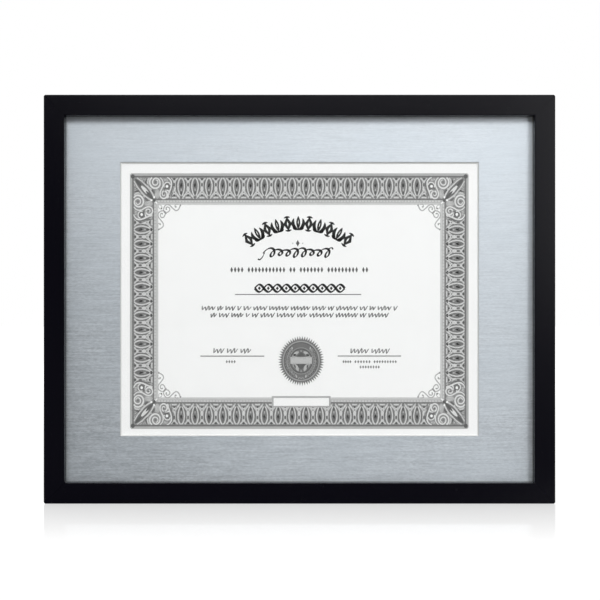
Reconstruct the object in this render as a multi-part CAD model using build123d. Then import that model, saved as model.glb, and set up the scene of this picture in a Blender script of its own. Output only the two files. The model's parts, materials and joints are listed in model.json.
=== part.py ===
"""Certificate frame: a mitred black wooden frame, 14 x 11 inches inside, with a matted letter sheet.

All sizes are millimetres. X runs along the frame's width, Y from its front to the wall, Z up.
The origin is the middle of the bounding box's bottom, so the frame stands on Z = 0 as on a table.

The pack behind the glass, from the front: glass, mat (foil on a white core), certificate sheet,
insert board, backboard. The backboard lies in the rabbet, 6.5 mm below the rails' backs, and is kept
there by six clips that turn on rivets and reach into a groove in the rails. In that recess the easel
leg folds flat. Its stay is as long as its pivot lies below the leg's hinge, so the three pivots make
an isosceles triangle and the stay always turns through twice the leg's angle.
"""

from build123d import *
from math import atan2, cos, degrees, radians, sin, tan
import os

# Sheets in the rabbet
SHEET_WIDTH = 355.6
SHEET_HEIGHT = 279.4
GLASS_THICKNESS = 2.0
GLASS_EDGE_CHAMFER = 0.3
FOIL_THICKNESS = 0.2
CORE_THICKNESS = 1.3
WINDOW_WIDTH = 266.7
WINDOW_HEIGHT = 203.2
BEVEL_ANGLE = 45.0
CERTIFICATE_WIDTH = 279.4
CERTIFICATE_HEIGHT = 215.9
CERTIFICATE_THICKNESS = 0.3
INSERT_THICKNESS = 2.2
BOARD_THICKNESS = 3.0
BOARD_CORNER_RADIUS = 2.0

# Rails
FACE_WIDTH = 15.4
LIP_OVERLAP = 3.2
RABBET_ALLOWANCE = 0.8
LIP_DEPTH = 8.5
RECESS_DEPTH = 6.5
FRONT_OUTER_RADIUS = 0.9
FRONT_INNER_RADIUS = 0.5
BACK_OUTER_RADIUS = 0.6
BACK_INNER_RADIUS = 0.4
OUTLINE_CORNER_RADIUS = 1.5

# Corner V-nails, two across each mitre
V_NAIL_WING = 4.6
V_NAIL_OPENING = 120.0
V_NAIL_GAUGE = 0.6
V_NAIL_DEPTH = 8.0
V_NAIL_FIRST = 8.0
V_NAIL_PITCH = 4.6

# Small clearances: drilled holes, turning fits and faces that slide
HOLE_CLEARANCE = 0.05
TURNING_CLEARANCE = 0.08
SLIDING_CLEARANCE = 0.1
CUT_OVERRUN = 1.0

# Turning clips that hold the backboard
CLIP_GAUGE = 0.8
CLIP_WIDTH = 9.0
CLIP_ENGAGEMENT = 2.5
CLIP_RIVET_INSET = 8.2
CLIP_TAIL = 5.0
CLIP_TAB_HEIGHT = 3.0
CLIP_SPACING = 210.0
GROOVE_DEPTH = 3.2
GROOVE_CLEARANCE = 0.2

# Rivets of the clips and the hinge, with low tapered heads
RIVET_SHANK_RADIUS = 1.3
RIVET_HEAD_RADIUS = 2.6
RIVET_CROWN_RADIUS = 1.7
RIVET_HEAD_HEIGHT = 0.8

# Prongs that hold the stay's bracket and track, and their clinched ends
PRONG_GAUGE = 0.8
PRONG_WIDTH = 4.0
PRONG_CLINCH = 2.6

# Sawtooth hangers, held by two prongs in the rail
HANGER_LENGTH = 48.0
HANGER_HEIGHT = 8.6
HANGER_GAUGE = 0.8
HANGER_RISE = 1.8
HANGER_BRIDGE = 27.0
HANGER_RAMP = 2.4
TOOTH_PITCH = 2.0
TOOTH_DEPTH = 1.6
HANGER_PRONG_WIDTH = 5.0
HANGER_PRONG_LENGTH = 7.0
HANGER_PRONG_POINT = 2.0

# Easel hinge, rolled from sheet round its pin
HINGE_HEIGHT = 226.0
HINGE_WIDTH = 36.0
HINGE_GAUGE = 0.8
KNUCKLE_RADIUS = 2.5
KNUCKLE_BOARD_GAP = 0.3
HINGE_PIN_RADIUS = 1.25
LEG_KNUCKLE_LENGTH = 12.0
KNUCKLE_END_GAP = 0.3
LEAF_HEIGHT = 16.0
LEAF_CORNER_RADIUS = 2.5
LEAF_RELIEF = 0.8
HINGE_RIVET_SPACING = 22.0
HINGE_RIVET_DROP = 10.5

# Easel leg
LEG_THICKNESS = 4.0
LEG_TOP_WIDTH = 46.0
LEG_FOOT_WIDTH = 84.0
LEG_TOP_RADIUS = 6.0
LEG_FOOT_RADIUS = 3.0
LEG_END_GAP = 1.6
LEG_OPEN_ANGLE = 28.0
LEG_EDGE_CHAMFER = 0.5
FOOT_ARCH_WIDTH = 46.0
FOOT_ARCH_HEIGHT = 9.0
WINDOW_SLOT_WIDTH = 13.0

# Stay: strut, bracket on the board, slotted track on the leg
STAY_LENGTH = 60.0
STRUT_WIDTH = 6.4
STRUT_GAUGE = 1.0
EYE_RADIUS = 1.5
STAY_PIN_RADIUS = 0.9
STAY_PIN_HEAD_RADIUS = 1.4
STAY_PIN_HEAD_LENGTH = 0.5
BRACKET_SIDE_GAP = 0.4
BRACKET_BASE_WIDTH = 9.6
BRACKET_BASE_LENGTH = 22.0
EAR_RADIUS = 1.9
TRACK_SIDE_GAP = 0.7
TRACK_PLATE_WIDTH = 28.0
TRACK_END_MARGIN = 8.0
TRACK_FLANGE_FRONT_GAP = 0.4
SLOT_END_CLEARANCE = 0.3
TRACK_PRONG_SIDE = 10.2

# Places across the width and height
rabbet_width = SHEET_WIDTH + 2 * RABBET_ALLOWANCE
rabbet_height = SHEET_HEIGHT + 2 * RABBET_ALLOWANCE
lip_width = RABBET_ALLOWANCE + LIP_OVERLAP
wall_width = FACE_WIDTH - lip_width
outer_width = rabbet_width + 2 * wall_width
outer_height = rabbet_height + 2 * wall_width
middle_z = outer_height / 2
board_bottom_z = middle_z - SHEET_HEIGHT / 2

# Places through the depth, from the front
pack_depth = (GLASS_THICKNESS + FOIL_THICKNESS + CORE_THICKNESS + CERTIFICATE_THICKNESS
              + INSERT_THICKNESS + BOARD_THICKNESS)
rail_depth = LIP_DEPTH + pack_depth + RECESS_DEPTH
overall_depth = rail_depth + HANGER_RISE + HANGER_GAUGE
front_y = -overall_depth / 2
glass_y = front_y + LIP_DEPTH
foil_y = glass_y + GLASS_THICKNESS
core_y = foil_y + FOIL_THICKNESS
certificate_y = core_y + CORE_THICKNESS
insert_y = certificate_y + CERTIFICATE_THICKNESS
board_y = insert_y + INSERT_THICKNESS
board_back_y = board_y + BOARD_THICKNESS
rail_back_y = front_y + rail_depth

# The clip's layer, and the groove its nose runs in
clip_y = board_back_y + SLIDING_CLEARANCE
clip_back_y = clip_y + CLIP_GAUGE
groove_back_y = clip_back_y + GROOVE_CLEARANCE
clip_reach = CLIP_RIVET_INSET + RABBET_ALLOWANCE + CLIP_ENGAGEMENT

# Easel hinge axis and the leg's faces around it
hinge_y = board_back_y + KNUCKLE_BOARD_GAP + KNUCKLE_RADIUS
leg_leaf_y = hinge_y + KNUCKLE_RADIUS - HINGE_GAUGE
leg_front_y = leg_leaf_y - LEG_THICKNESS
leg_top_z = HINGE_HEIGHT - KNUCKLE_RADIUS - LEAF_RELIEF
leg_foot_z = wall_width + LEG_END_GAP
leg_length = HINGE_HEIGHT - leg_foot_z

# With the leg open, the floor runs from the frame's back edge to the leg's foot
open_sine, open_cosine = sin(radians(LEG_OPEN_ANGLE)), cos(radians(LEG_OPEN_ANGLE))
foot_out = hinge_y + leg_length * open_sine + (leg_leaf_y - hinge_y) * open_cosine - rail_back_y
foot_up = HINGE_HEIGHT - leg_length * open_cosine + (leg_leaf_y - hinge_y) * open_sine
lean_angle = degrees(atan2(foot_up, foot_out))
foot_cut_angle = LEG_OPEN_ANGLE - lean_angle

# Stay pivots, all three in line when the leg is shut
stay_pivot_z = HINGE_HEIGHT - STAY_LENGTH
slide_shut_z = stay_pivot_z - STAY_LENGTH
slide_open_z = HINGE_HEIGHT - 2 * STAY_LENGTH * open_cosine
ear_inner_x = STRUT_WIDTH / 2 + BRACKET_SIDE_GAP
ear_outer_x = ear_inner_x + PRONG_GAUGE
flange_inner_x = STRUT_WIDTH / 2 + TRACK_SIDE_GAP
flange_outer_x = flange_inner_x + PRONG_GAUGE
slot_half_width = STAY_PIN_RADIUS + TURNING_CLEARANCE
track_top_z = slide_open_z + TRACK_END_MARGIN
track_bottom_z = slide_shut_z - TRACK_END_MARGIN
leg_window_top_z = stay_pivot_z + BRACKET_BASE_LENGTH / 2 + LEAF_RELIEF
leg_window_bottom_z = slide_shut_z - EYE_RADIUS - WINDOW_SLOT_WIDTH / 2


def block(x0, x1, y0, y1, z0, z1):
    """A box between two corners."""
    middle = ((x0 + x1) / 2, (y0 + y1) / 2, (z0 + z1) / 2)
    return Pos(*middle) * Box(abs(x1 - x0), abs(y1 - y0), abs(z1 - z0))


def rod_x(radius, x0, x1, y, z):
    """A round rod along X."""
    return Pos((x0 + x1) / 2, y, z) * Rot(0, 90, 0) * Cylinder(radius, abs(x1 - x0))


def rod_y(radius, y0, y1, x, z):
    """A round rod along Y."""
    return Pos(x, (y0 + y1) / 2, z) * Rot(90, 0, 0) * Cylinder(radius, abs(y1 - y0))


def slab(sketch, y0, y1):
    """A sketch of (x, z) points made as thick as from y0 to y1."""
    return Pos(0, y1, 0) * extrude(Plane.XZ * sketch, y1 - y0, dir=(0, -1, 0))


def rounded_sheet(width, height, radius, x=0.0, z=0.0):
    """A flat rectangle with rounded corners, centred at (x, z)."""
    return Pos(x, z) * RectangleRounded(width, height, radius)


def turned_along_y(profile, x, y, z):
    """A profile of (radius, distance) points, turned about an axis that runs along +Y from (x, y, z)."""
    return Pos(x, y, z) * Rot(-90, 0, 0) * revolve(Plane.XZ * profile, Axis.Z)


def rivet(grip, x, seat_y, z):
    """A rivet whose tapered head sits on seat_y and whose shank ends one grip in front of that."""
    profile = Polygon((0, RIVET_HEAD_HEIGHT), (0, -grip), (RIVET_SHANK_RADIUS, -grip), (RIVET_SHANK_RADIUS, 0),
                      (RIVET_HEAD_RADIUS, 0), (RIVET_CROWN_RADIUS, RIVET_HEAD_HEIGHT), align=None)
    return turned_along_y(profile, x, seat_y, z)


def rivet_hole(y0, y1, x, z, clearance=HOLE_CLEARANCE):
    """What is drilled for such a rivet between two depths."""
    return rod_y(RIVET_SHANK_RADIUS + clearance, y0 - CUT_OVERRUN, y1 + CUT_OVERRUN, x, z)


def prong(x, end_z, side, front_face_y, back_y, clearance=0.0):
    """A prong bent from a plate's end at end_z, through the board to its front face, and clinched there.

    side is 1 where end_z is the plate's upper end and -1 where it is the lower. The clinched end lies flush
    in the front face and points back along the plate. With a clearance, it is what the board loses for it.
    """
    half, gauge = PRONG_WIDTH / 2 + clearance, PRONG_GAUGE
    outer, inner = end_z + side * clearance, end_z - side * (gauge + clearance)
    stem = block(x - half, x + half, front_face_y - clearance, back_y, inner, outer)
    tip = end_z - side * (gauge + PRONG_CLINCH + clearance)
    return stem + block(x - half, x + half, front_face_y - clearance, front_face_y + gauge + clearance, tip, outer)


def nearest_corner(sketch, a, b):
    """The sketch's vertex nearest to (a, b)."""
    return min(sketch.vertices(), key=lambda v: (v.X - a) ** 2 + (v.Y - b) ** 2)


# Rails

def rail_section():
    """The moulding's section: y is depth, and the second value is the distance in from the outside."""
    low = (Align.MIN, Align.MIN)
    section = Pos(front_y, 0) * Rectangle(rail_depth, wall_width, align=low)
    section += Pos(front_y, 0) * Rectangle(LIP_DEPTH, FACE_WIDTH, align=low)
    groove_width = groove_back_y - board_back_y
    groove = Rectangle(groove_width, GROOVE_DEPTH + CUT_OVERRUN, align=low)
    section -= Pos(board_back_y, wall_width - GROOVE_DEPTH) * groove
    for y, inward, radius in ((front_y, 0, FRONT_OUTER_RADIUS), (front_y, FACE_WIDTH, FRONT_INNER_RADIUS),
                              (rail_back_y, 0, BACK_OUTER_RADIUS),
                              (rail_back_y, wall_width, BACK_INNER_RADIUS)):
        section = fillet(nearest_corner(section, y, inward), radius)
    return section


def mitred_rail(length):
    """One rail along X, its outside on Z = 0, mitred at both ends, with its tips sanded round."""
    half = length / 2
    bar = extrude(Plane.YZ * rail_section(), half, both=True)
    mitre = Polygon((-half, 0), (half, 0), (half - FACE_WIDTH, FACE_WIDTH),
                    (FACE_WIDTH - half, FACE_WIDTH), align=None)
    mitre &= Pos(0, half) * RectangleRounded(length, length, OUTLINE_CORNER_RADIUS)
    return bar & slab(mitre, front_y - CUT_OVERRUN, rail_back_y + CUT_OVERRUN)


def v_nail_outline(gauge):
    """The V as seen from behind, its point towards +X and its wings spreading towards -X."""
    half_opening = radians(V_NAIL_OPENING / 2)
    back, side = V_NAIL_WING * cos(half_opening), V_NAIL_WING * sin(half_opening)
    thick = gauge / 2 / sin(half_opening)
    return Polygon((thick, 0), (-back + thick, side), (-back - thick, side), (-thick, 0),
                   (-back - thick, -side), (-back + thick, -side), align=None)


def v_nails(gauge, depth):
    """Two V-nails across each mitre, driven in from the rails' backs."""
    nails = []
    for side_x in (-1, 1):
        for side_z in (-1, 1):
            inward = degrees(atan2(-side_z, -side_x))
            for i in range(2):
                along = V_NAIL_FIRST + i * V_NAIL_PITCH
                x = side_x * (outer_width / 2 - along * sin(radians(45)))
                z = middle_z + side_z * (outer_height / 2 - along * sin(radians(45)))
                nails.append(slab(Pos(x, z) * Rot(0, 0, inward) * v_nail_outline(gauge),
                                  rail_back_y - depth, rail_back_y))
    return nails


def rails():
    """The four rails by name, with the pockets for V-nails and hanger prongs."""
    long_rail, short_rail = mitred_rail(outer_width), mitred_rail(outer_height)
    made = {
        "bottom_rail": long_rail,
        "top_rail": Pos(0, 0, outer_height) * Rot(0, 180, 0) * long_rail,
        "left_stile": Pos(-outer_width / 2, 0, middle_z) * Rot(0, 90, 0) * short_rail,
        "right_stile": Pos(outer_width / 2, 0, middle_z) * Rot(0, -90, 0) * short_rail,
    }
    pockets = v_nails(V_NAIL_GAUGE + 2 * HOLE_CLEARANCE, V_NAIL_DEPTH + HOLE_CLEARANCE)
    pockets += [turned_hanger(name, hanger_prongs(HOLE_CLEARANCE)) for name in hanger_places()]
    return {name: rail - pockets for name, rail in made.items()}


# Sheets between the lip and the recess

def sheet_outline(width, height):
    """A rectangle centred on the frame."""
    return Pos(0, middle_z) * Rectangle(width, height)


def glass():
    """The glazing, with seamed edges."""
    pane = slab(sheet_outline(SHEET_WIDTH, SHEET_HEIGHT), glass_y, foil_y)
    faces = pane.faces().sort_by(Axis.Y)
    return chamfer(faces[0].edges() + faces[-1].edges(), GLASS_EDGE_CHAMFER)


def bevelled_window(y0, y1):
    """The mat's opening between two depths: it widens towards the front at the bevel's angle."""
    slope = tan(radians(BEVEL_ANGLE))
    outlines = []
    for y in (y1, y0):
        grow = 2 * (certificate_y - y) * slope
        outline = sheet_outline(WINDOW_WIDTH + grow, WINDOW_HEIGHT + grow)
        outlines.append(Plane.XZ.offset(-y) * outline)
    return loft(outlines, ruled=True)


def mat_layer(y0, y1):
    """One layer of the mat, with its share of the bevelled window."""
    opening = bevelled_window(y0 - CORE_THICKNESS, certificate_y + CORE_THICKNESS)
    return slab(sheet_outline(SHEET_WIDTH, SHEET_HEIGHT), y0, y1) - opening


def certificate():
    """The letter-size sheet behind the window."""
    return slab(sheet_outline(CERTIFICATE_WIDTH, CERTIFICATE_HEIGHT), certificate_y, insert_y)


def insert_board():
    """The card that presses the sheet flat."""
    return slab(sheet_outline(SHEET_WIDTH, SHEET_HEIGHT), insert_y, board_y)


def backboard():
    """The board that carries the easel and the clips, drilled for all their rivets."""
    outline = rounded_sheet(SHEET_WIDTH, SHEET_HEIGHT, BOARD_CORNER_RADIUS, 0, middle_z)
    places = [(x, z) for x, z, _ in clip_places()] + leaf_rivet_places(1)
    cuts = [rivet_hole(board_y, board_back_y, x, z) for x, z in places]
    return slab(outline, board_y, board_back_y) - cuts - bracket_prongs(HOLE_CLEARANCE)


# Turning clips

def clip_places():
    """(x, z, turn) of each clip's rivet: two above, two below, one at each side, noses outwards."""
    x_edge = SHEET_WIDTH / 2 - CLIP_RIVET_INSET
    z_edge = SHEET_HEIGHT / 2 - CLIP_RIVET_INSET
    across = CLIP_SPACING / 2
    return [(-across, middle_z + z_edge, -90), (across, middle_z + z_edge, -90),
            (x_edge, middle_z, 0), (across, middle_z - z_edge, 90),
            (-across, middle_z - z_edge, 90), (-x_edge, middle_z, 180)]


def clip_shape():
    """A clip at the origin: its nose along +X, its rivet hole on the Y axis, a finger tab at the tail."""
    nose_middle = clip_reach - CLIP_WIDTH / 2
    body = Pos((nose_middle - CLIP_TAIL) / 2, 0) * Rectangle(nose_middle + CLIP_TAIL, CLIP_WIDTH)
    outline = body + Pos(nose_middle, 0) * Circle(CLIP_WIDTH / 2)
    plate = slab(outline, 0, CLIP_GAUGE)
    tab_outline = Pos(0, CLIP_TAB_HEIGHT / 2) * Rectangle(CLIP_WIDTH, CLIP_TAB_HEIGHT)
    for side in (-1, 1):
        corner = nearest_corner(tab_outline, side * CLIP_WIDTH / 2, CLIP_TAB_HEIGHT)
        tab_outline = chamfer(corner, CLIP_WIDTH / 6)
    tab_plane = Plane(origin=(-CLIP_TAIL, 0, 0), x_dir=(0, 0, -1), z_dir=(1, 0, 0))
    plate += extrude(tab_plane * tab_outline, CLIP_GAUGE)
    return plate - rivet_hole(0, CLIP_GAUGE, 0, 0, TURNING_CLEARANCE)


def clips():
    """The six clips by name, all with their noses in the groove."""
    made = {}
    for number, (x, z, turn) in enumerate(clip_places(), 1):
        made[f"turn_clip_{number}"] = Pos(x, clip_y, z) * Rot(0, turn, 0) * clip_shape()
    return made


# Hangers

def hanger_prongs(clearance=0.0):
    """The two pointed prongs of a hanger at the origin, which go into the rail from Y = 0."""
    half = HANGER_PRONG_WIDTH / 2 + clearance
    tip, shoulder = -HANGER_PRONG_LENGTH - clearance, HANGER_PRONG_POINT - HANGER_PRONG_LENGTH
    outline = Polygon((HANGER_GAUGE, -half), (HANGER_GAUGE, half), (shoulder, half), (tip, 0), (shoulder, -half),
                      align=None)
    inner = HANGER_LENGTH / 2 - HANGER_GAUGE - clearance
    blade = extrude(Plane.YZ * outline, HANGER_GAUGE + 2 * clearance, dir=(1, 0, 0))
    return Pos(inner, 0, 0) * blade + Pos(-inner - HANGER_GAUGE - 2 * clearance, 0, 0) * blade


def hanger_shape():
    """A sawtooth hanger at the origin, lying on Y = 0: a bridge between two pronged feet, teeth below."""
    half, bridge = HANGER_LENGTH / 2, HANGER_BRIDGE / 2
    foot = bridge + HANGER_RAMP
    line = [(-half, 0), (-foot, 0), (-bridge, HANGER_RISE), (bridge, HANGER_RISE), (foot, 0), (half, 0)]
    strip = Polygon(*line, *[(x, y + HANGER_GAUGE) for x, y in reversed(line)], align=None)
    body = extrude(strip, HANGER_HEIGHT / 2, both=True)
    edge, count = -HANGER_HEIGHT / 2, int(HANGER_BRIDGE / TOOTH_PITCH)
    for i in range(count):
        x = (i - (count - 1) / 2) * TOOTH_PITCH
        notch = Polygon((x - TOOTH_PITCH / 2, edge), (x, edge + TOOTH_DEPTH), (x + TOOTH_PITCH / 2, edge),
                        align=None)
        body -= slab(notch, 0, HANGER_RISE + HANGER_GAUGE + CUT_OVERRUN)
    return body + hanger_prongs()


def hanger_places():
    """(x, z, turn) of each hanger: on the top rail for landscape, on the left stile for portrait."""
    rail_middle = wall_width / 2
    return {"hanger_landscape": (0, outer_height - rail_middle, 0),
            "hanger_portrait": (rail_middle - outer_width / 2, middle_z, -90)}


def turned_hanger(name, shape):
    """A hanger's shape, or its prongs, moved from the origin to the hanger's place on the rails' backs."""
    x, z, turn = hanger_places()[name]
    return Pos(x, rail_back_y, z) * Rot(0, turn, 0) * shape


# Easel hinge

def leaf_rivet_places(side):
    """(x, z) of the two rivets of a leaf: side 1 is above the hinge, on the board, -1 below, on the leg."""
    z = HINGE_HEIGHT + side * HINGE_RIVET_DROP
    return [(-HINGE_RIVET_SPACING / 2, z), (HINGE_RIVET_SPACING / 2, z)]


def leaf_plate(side, y0, y1):
    """The flat of a leaf, its far corners rounded, down to the clearance round the knuckles."""
    near = KNUCKLE_RADIUS + LEAF_RELIEF
    middle = HINGE_HEIGHT + side * LEAF_HEIGHT / 2
    plate = slab(rounded_sheet(HINGE_WIDTH, LEAF_HEIGHT, LEAF_CORNER_RADIUS, 0, middle), y0, y1)
    keep = HINGE_HEIGHT + side * near
    far = HINGE_HEIGHT + side * (LEAF_HEIGHT + CUT_OVERRUN)
    plate &= block(-HINGE_WIDTH, HINGE_WIDTH, y0, y1, keep, far)
    return plate - [rivet_hole(y0, y1, x, z) for x, z in leaf_rivet_places(side)]


def hinge_board_leaf():
    """The leaf on the board, rolled into a knuckle at each end."""
    y0, y1 = board_back_y, board_back_y + HINGE_GAUGE
    inner = LEG_KNUCKLE_LENGTH / 2 + KNUCKLE_END_GAP
    outer = HINGE_WIDTH / 2
    leaf = leaf_plate(1, y0, y1)
    for x0, x1 in ((-outer, -inner), (inner, outer)):
        leaf += block(x0, x1, y0, y1, HINGE_HEIGHT, HINGE_HEIGHT + KNUCKLE_RADIUS + 2 * LEAF_RELIEF)
        leaf += rod_x(KNUCKLE_RADIUS, x0, x1, hinge_y, HINGE_HEIGHT)
    return leaf - rod_x(HINGE_PIN_RADIUS + TURNING_CLEARANCE, -HINGE_WIDTH, HINGE_WIDTH, hinge_y, HINGE_HEIGHT)


def hinge_leg_leaf():
    """The leaf on the leg's back, rolled into one knuckle in the middle."""
    y0, y1 = leg_leaf_y, leg_leaf_y + HINGE_GAUGE
    half = LEG_KNUCKLE_LENGTH / 2
    leaf = leaf_plate(-1, y0, y1)
    leaf += block(-half, half, y0, y1, HINGE_HEIGHT - KNUCKLE_RADIUS - 2 * LEAF_RELIEF, HINGE_HEIGHT)
    leaf += rod_x(KNUCKLE_RADIUS, -half, half, hinge_y, HINGE_HEIGHT)
    return leaf - rod_x(HINGE_PIN_RADIUS + TURNING_CLEARANCE, -HINGE_WIDTH, HINGE_WIDTH, hinge_y, HINGE_HEIGHT)


def hinge_pin():
    """The hinge's pin, cut flush with the outer knuckles."""
    return rod_x(HINGE_PIN_RADIUS, -HINGE_WIDTH / 2, HINGE_WIDTH / 2, hinge_y, HINGE_HEIGHT)


def board_rivets():
    """The rivets through the board: one for each clip, and two for the hinge's upper leaf."""
    clip_seat_y = clip_back_y + SLIDING_CLEARANCE
    leaf_seat_y = board_back_y + HINGE_GAUGE
    return ([rivet(clip_seat_y - board_y, x, clip_seat_y, z) for x, z, _ in clip_places()]
            + [rivet(leaf_seat_y - board_y, x, leaf_seat_y, z) for x, z in leaf_rivet_places(1)])


def leg_rivets():
    """The two rivets through the leg, which hold the hinge's lower leaf."""
    seat_y = leg_leaf_y + HINGE_GAUGE
    return [rivet(seat_y - leg_front_y, x, seat_y, z) for x, z in leaf_rivet_places(-1)]


# Easel leg

def easel_leg():
    """The leg: it widens to two feet, and a window through it takes the folded stay."""
    top, foot = LEG_TOP_WIDTH / 2, LEG_FOOT_WIDTH / 2
    outline = Polygon((-top, leg_top_z), (top, leg_top_z), (foot, leg_foot_z), (-foot, leg_foot_z),
                      align=None)
    for x, z, radius in ((-top, leg_top_z, LEG_TOP_RADIUS), (top, leg_top_z, LEG_TOP_RADIUS),
                         (-foot, leg_foot_z, LEG_FOOT_RADIUS), (foot, leg_foot_z, LEG_FOOT_RADIUS)):
        outline = fillet(nearest_corner(outline, x, z), radius)
    outline -= Pos(0, leg_foot_z) * Ellipse(FOOT_ARCH_WIDTH / 2, FOOT_ARCH_HEIGHT)
    window_height = leg_window_top_z - leg_window_bottom_z
    window_middle = (leg_window_top_z + leg_window_bottom_z) / 2
    window = RectangleRounded(WINDOW_SLOT_WIDTH, window_height, WINDOW_SLOT_WIDTH / 4)
    outline -= Pos(0, window_middle) * window
    leg = slab(outline, leg_front_y, leg_leaf_y)
    back_face = leg.faces().sort_by(Axis.Y)[-1]
    leg = chamfer(back_face.outer_wire().edges(), LEG_EDGE_CHAMFER)
    rise = LEG_THICKNESS * tan(radians(foot_cut_angle))
    wedge = Polygon((leg_front_y - CUT_OVERRUN, leg_foot_z - CUT_OVERRUN), (leg_leaf_y, leg_foot_z - CUT_OVERRUN),
                    (leg_leaf_y, leg_foot_z), (leg_front_y, leg_foot_z + rise),
                    (leg_front_y - CUT_OVERRUN, leg_foot_z + rise), align=None)
    leg -= extrude(Plane.YZ * wedge, LEG_FOOT_WIDTH, both=True)
    leg -= [rivet_hole(leg_front_y, leg_leaf_y, x, z) for x, z in leaf_rivet_places(-1)]
    return leg - track_prongs(HOLE_CLEARANCE)


# Stay

def bracket_prongs(clearance=0.0):
    """The prongs at the upper and the lower end of the bracket's base."""
    return [prong(0, stay_pivot_z + side * BRACKET_BASE_LENGTH / 2, side, board_y, board_back_y + PRONG_GAUGE,
                  clearance) for side in (-1, 1)]


def stay_bracket():
    """The bracket on the board: a pronged base with two ears for the stay's pivot."""
    half_width, half_length = BRACKET_BASE_WIDTH / 2, BRACKET_BASE_LENGTH / 2
    bracket = block(-half_width, half_width, board_back_y, board_back_y + PRONG_GAUGE,
                    stay_pivot_z - half_length, stay_pivot_z + half_length)
    for side in (-1, 1):
        inner, outer = side * ear_inner_x, side * ear_outer_x
        bracket += block(inner, outer, board_back_y, hinge_y, stay_pivot_z - EAR_RADIUS,
                         stay_pivot_z + EAR_RADIUS)
        bracket += rod_x(EAR_RADIUS, inner, outer, hinge_y, stay_pivot_z)
    bracket -= rod_x(STAY_PIN_RADIUS + HOLE_CLEARANCE, -BRACKET_BASE_WIDTH, BRACKET_BASE_WIDTH,
                     hinge_y, stay_pivot_z)
    return bracket + bracket_prongs()


def stay_strut():
    """The strut, its ends rolled into eyes round the two pins."""
    strut = block(-STRUT_WIDTH / 2, STRUT_WIDTH / 2, hinge_y - STRUT_GAUGE / 2, hinge_y + STRUT_GAUGE / 2,
                  slide_shut_z, stay_pivot_z)
    for z in (slide_shut_z, stay_pivot_z):
        strut += rod_x(EYE_RADIUS, -STRUT_WIDTH / 2, STRUT_WIDTH / 2, hinge_y, z)
    strut -= rod_x(STAY_PIN_RADIUS + HOLE_CLEARANCE, -STRUT_WIDTH, STRUT_WIDTH, hinge_y, slide_shut_z)
    return strut - rod_x(STAY_PIN_RADIUS + TURNING_CLEARANCE, -STRUT_WIDTH, STRUT_WIDTH, hinge_y, stay_pivot_z)


def track_prongs(clearance=0.0):
    """The prongs at the four corners of the track's plate."""
    return [prong(x, z, side, leg_front_y, leg_leaf_y + PRONG_GAUGE, clearance)
            for x in (-TRACK_PRONG_SIDE, TRACK_PRONG_SIDE)
            for side, z in ((-1, track_bottom_z), (1, track_top_z))]


def stay_track():
    """The track on the leg: a plate across the window with two slotted flanges for the slide pin."""
    height = track_top_z - track_bottom_z
    middle = (track_top_z + track_bottom_z) / 2
    plate_back_y = leg_leaf_y + PRONG_GAUGE
    half_width = TRACK_PLATE_WIDTH / 2
    track = block(-half_width, half_width, leg_leaf_y, plate_back_y, track_bottom_z, track_top_z)
    flange_front_y = leg_front_y + TRACK_FLANGE_FRONT_GAP
    flange_margin = TRACK_END_MARGIN / 4
    slot_low = slide_shut_z - slot_half_width - SLOT_END_CLEARANCE
    slot_high = slide_open_z + slot_half_width + SLOT_END_CLEARANCE
    slot = Pos(hinge_y, (slot_low + slot_high) / 2) * Rot(0, 0, 90)
    slot *= SlotOverall(slot_high - slot_low, 2 * slot_half_width)
    flange_outline = Pos((flange_front_y + plate_back_y) / 2, middle)
    flange_outline *= Rectangle(plate_back_y - flange_front_y, height - 2 * flange_margin)
    for side in (-1, 1):
        flange = extrude(Plane.YZ * (flange_outline - slot), PRONG_GAUGE)
        track += Pos(flange_inner_x if side > 0 else -flange_outer_x, 0, 0) * flange
    return track + track_prongs()


def stay_pivot_pin():
    """The pin through the bracket's ears, pressed in flush."""
    return rod_x(STAY_PIN_RADIUS, -ear_outer_x, ear_outer_x, hinge_y, stay_pivot_z)


def stay_slide_pin():
    """The headed pin through the strut's far eye, which runs in the track's slots."""
    seat = flange_outer_x + SLIDING_CLEARANCE
    reach = seat + STAY_PIN_HEAD_LENGTH
    pin = rod_x(STAY_PIN_RADIUS, -reach, reach, hinge_y, slide_shut_z)
    for side in (-1, 1):
        pin += rod_x(STAY_PIN_HEAD_RADIUS, side * seat, side * reach, hinge_y, slide_shut_z)
    return pin


def all_parts():
    """Every node's shape by name."""
    parts = rails()
    parts["corner_v_nails"] = Compound(v_nails(V_NAIL_GAUGE, V_NAIL_DEPTH))
    parts["glass"] = glass()
    parts["mat_face"] = mat_layer(foil_y, core_y)
    parts["mat_core"] = mat_layer(core_y, certificate_y)
    parts["certificate"] = certificate()
    parts["insert_board"] = insert_board()
    parts["backboard"] = backboard()
    parts.update(clips())
    parts["board_rivets"] = Compound(board_rivets())
    parts.update({name: turned_hanger(name, hanger_shape()) for name in hanger_places()})
    parts["hinge_board_leaf"] = hinge_board_leaf()
    parts["hinge_leg_leaf"] = hinge_leg_leaf()
    parts["hinge_pin"] = hinge_pin()
    parts["leg_rivets"] = Compound(leg_rivets())
    parts["easel_leg"] = easel_leg()
    parts["stay_bracket"] = stay_bracket()
    parts["stay_pivot_pin"] = stay_pivot_pin()
    parts["stay_strut"] = stay_strut()
    parts["stay_slide_pin"] = stay_slide_pin()
    parts["stay_track"] = stay_track()
    return parts


os.makedirs("parts", exist_ok=True)
for node_name, shape in all_parts().items():
    export_step(shape, f"parts/{node_name}.step")
print(f"outer {outer_width:.2f} x {outer_height:.2f} x {rail_depth:.2f}, overall depth {overall_depth:.2f}")
print(f"leg opens {LEG_OPEN_ANGLE:.0f} degrees, and the frame then leans back {lean_angle:.1f} degrees")
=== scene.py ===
"""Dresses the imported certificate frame, from its mouldings to its easel, and sets it on a white stage."""

import json
import math

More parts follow.
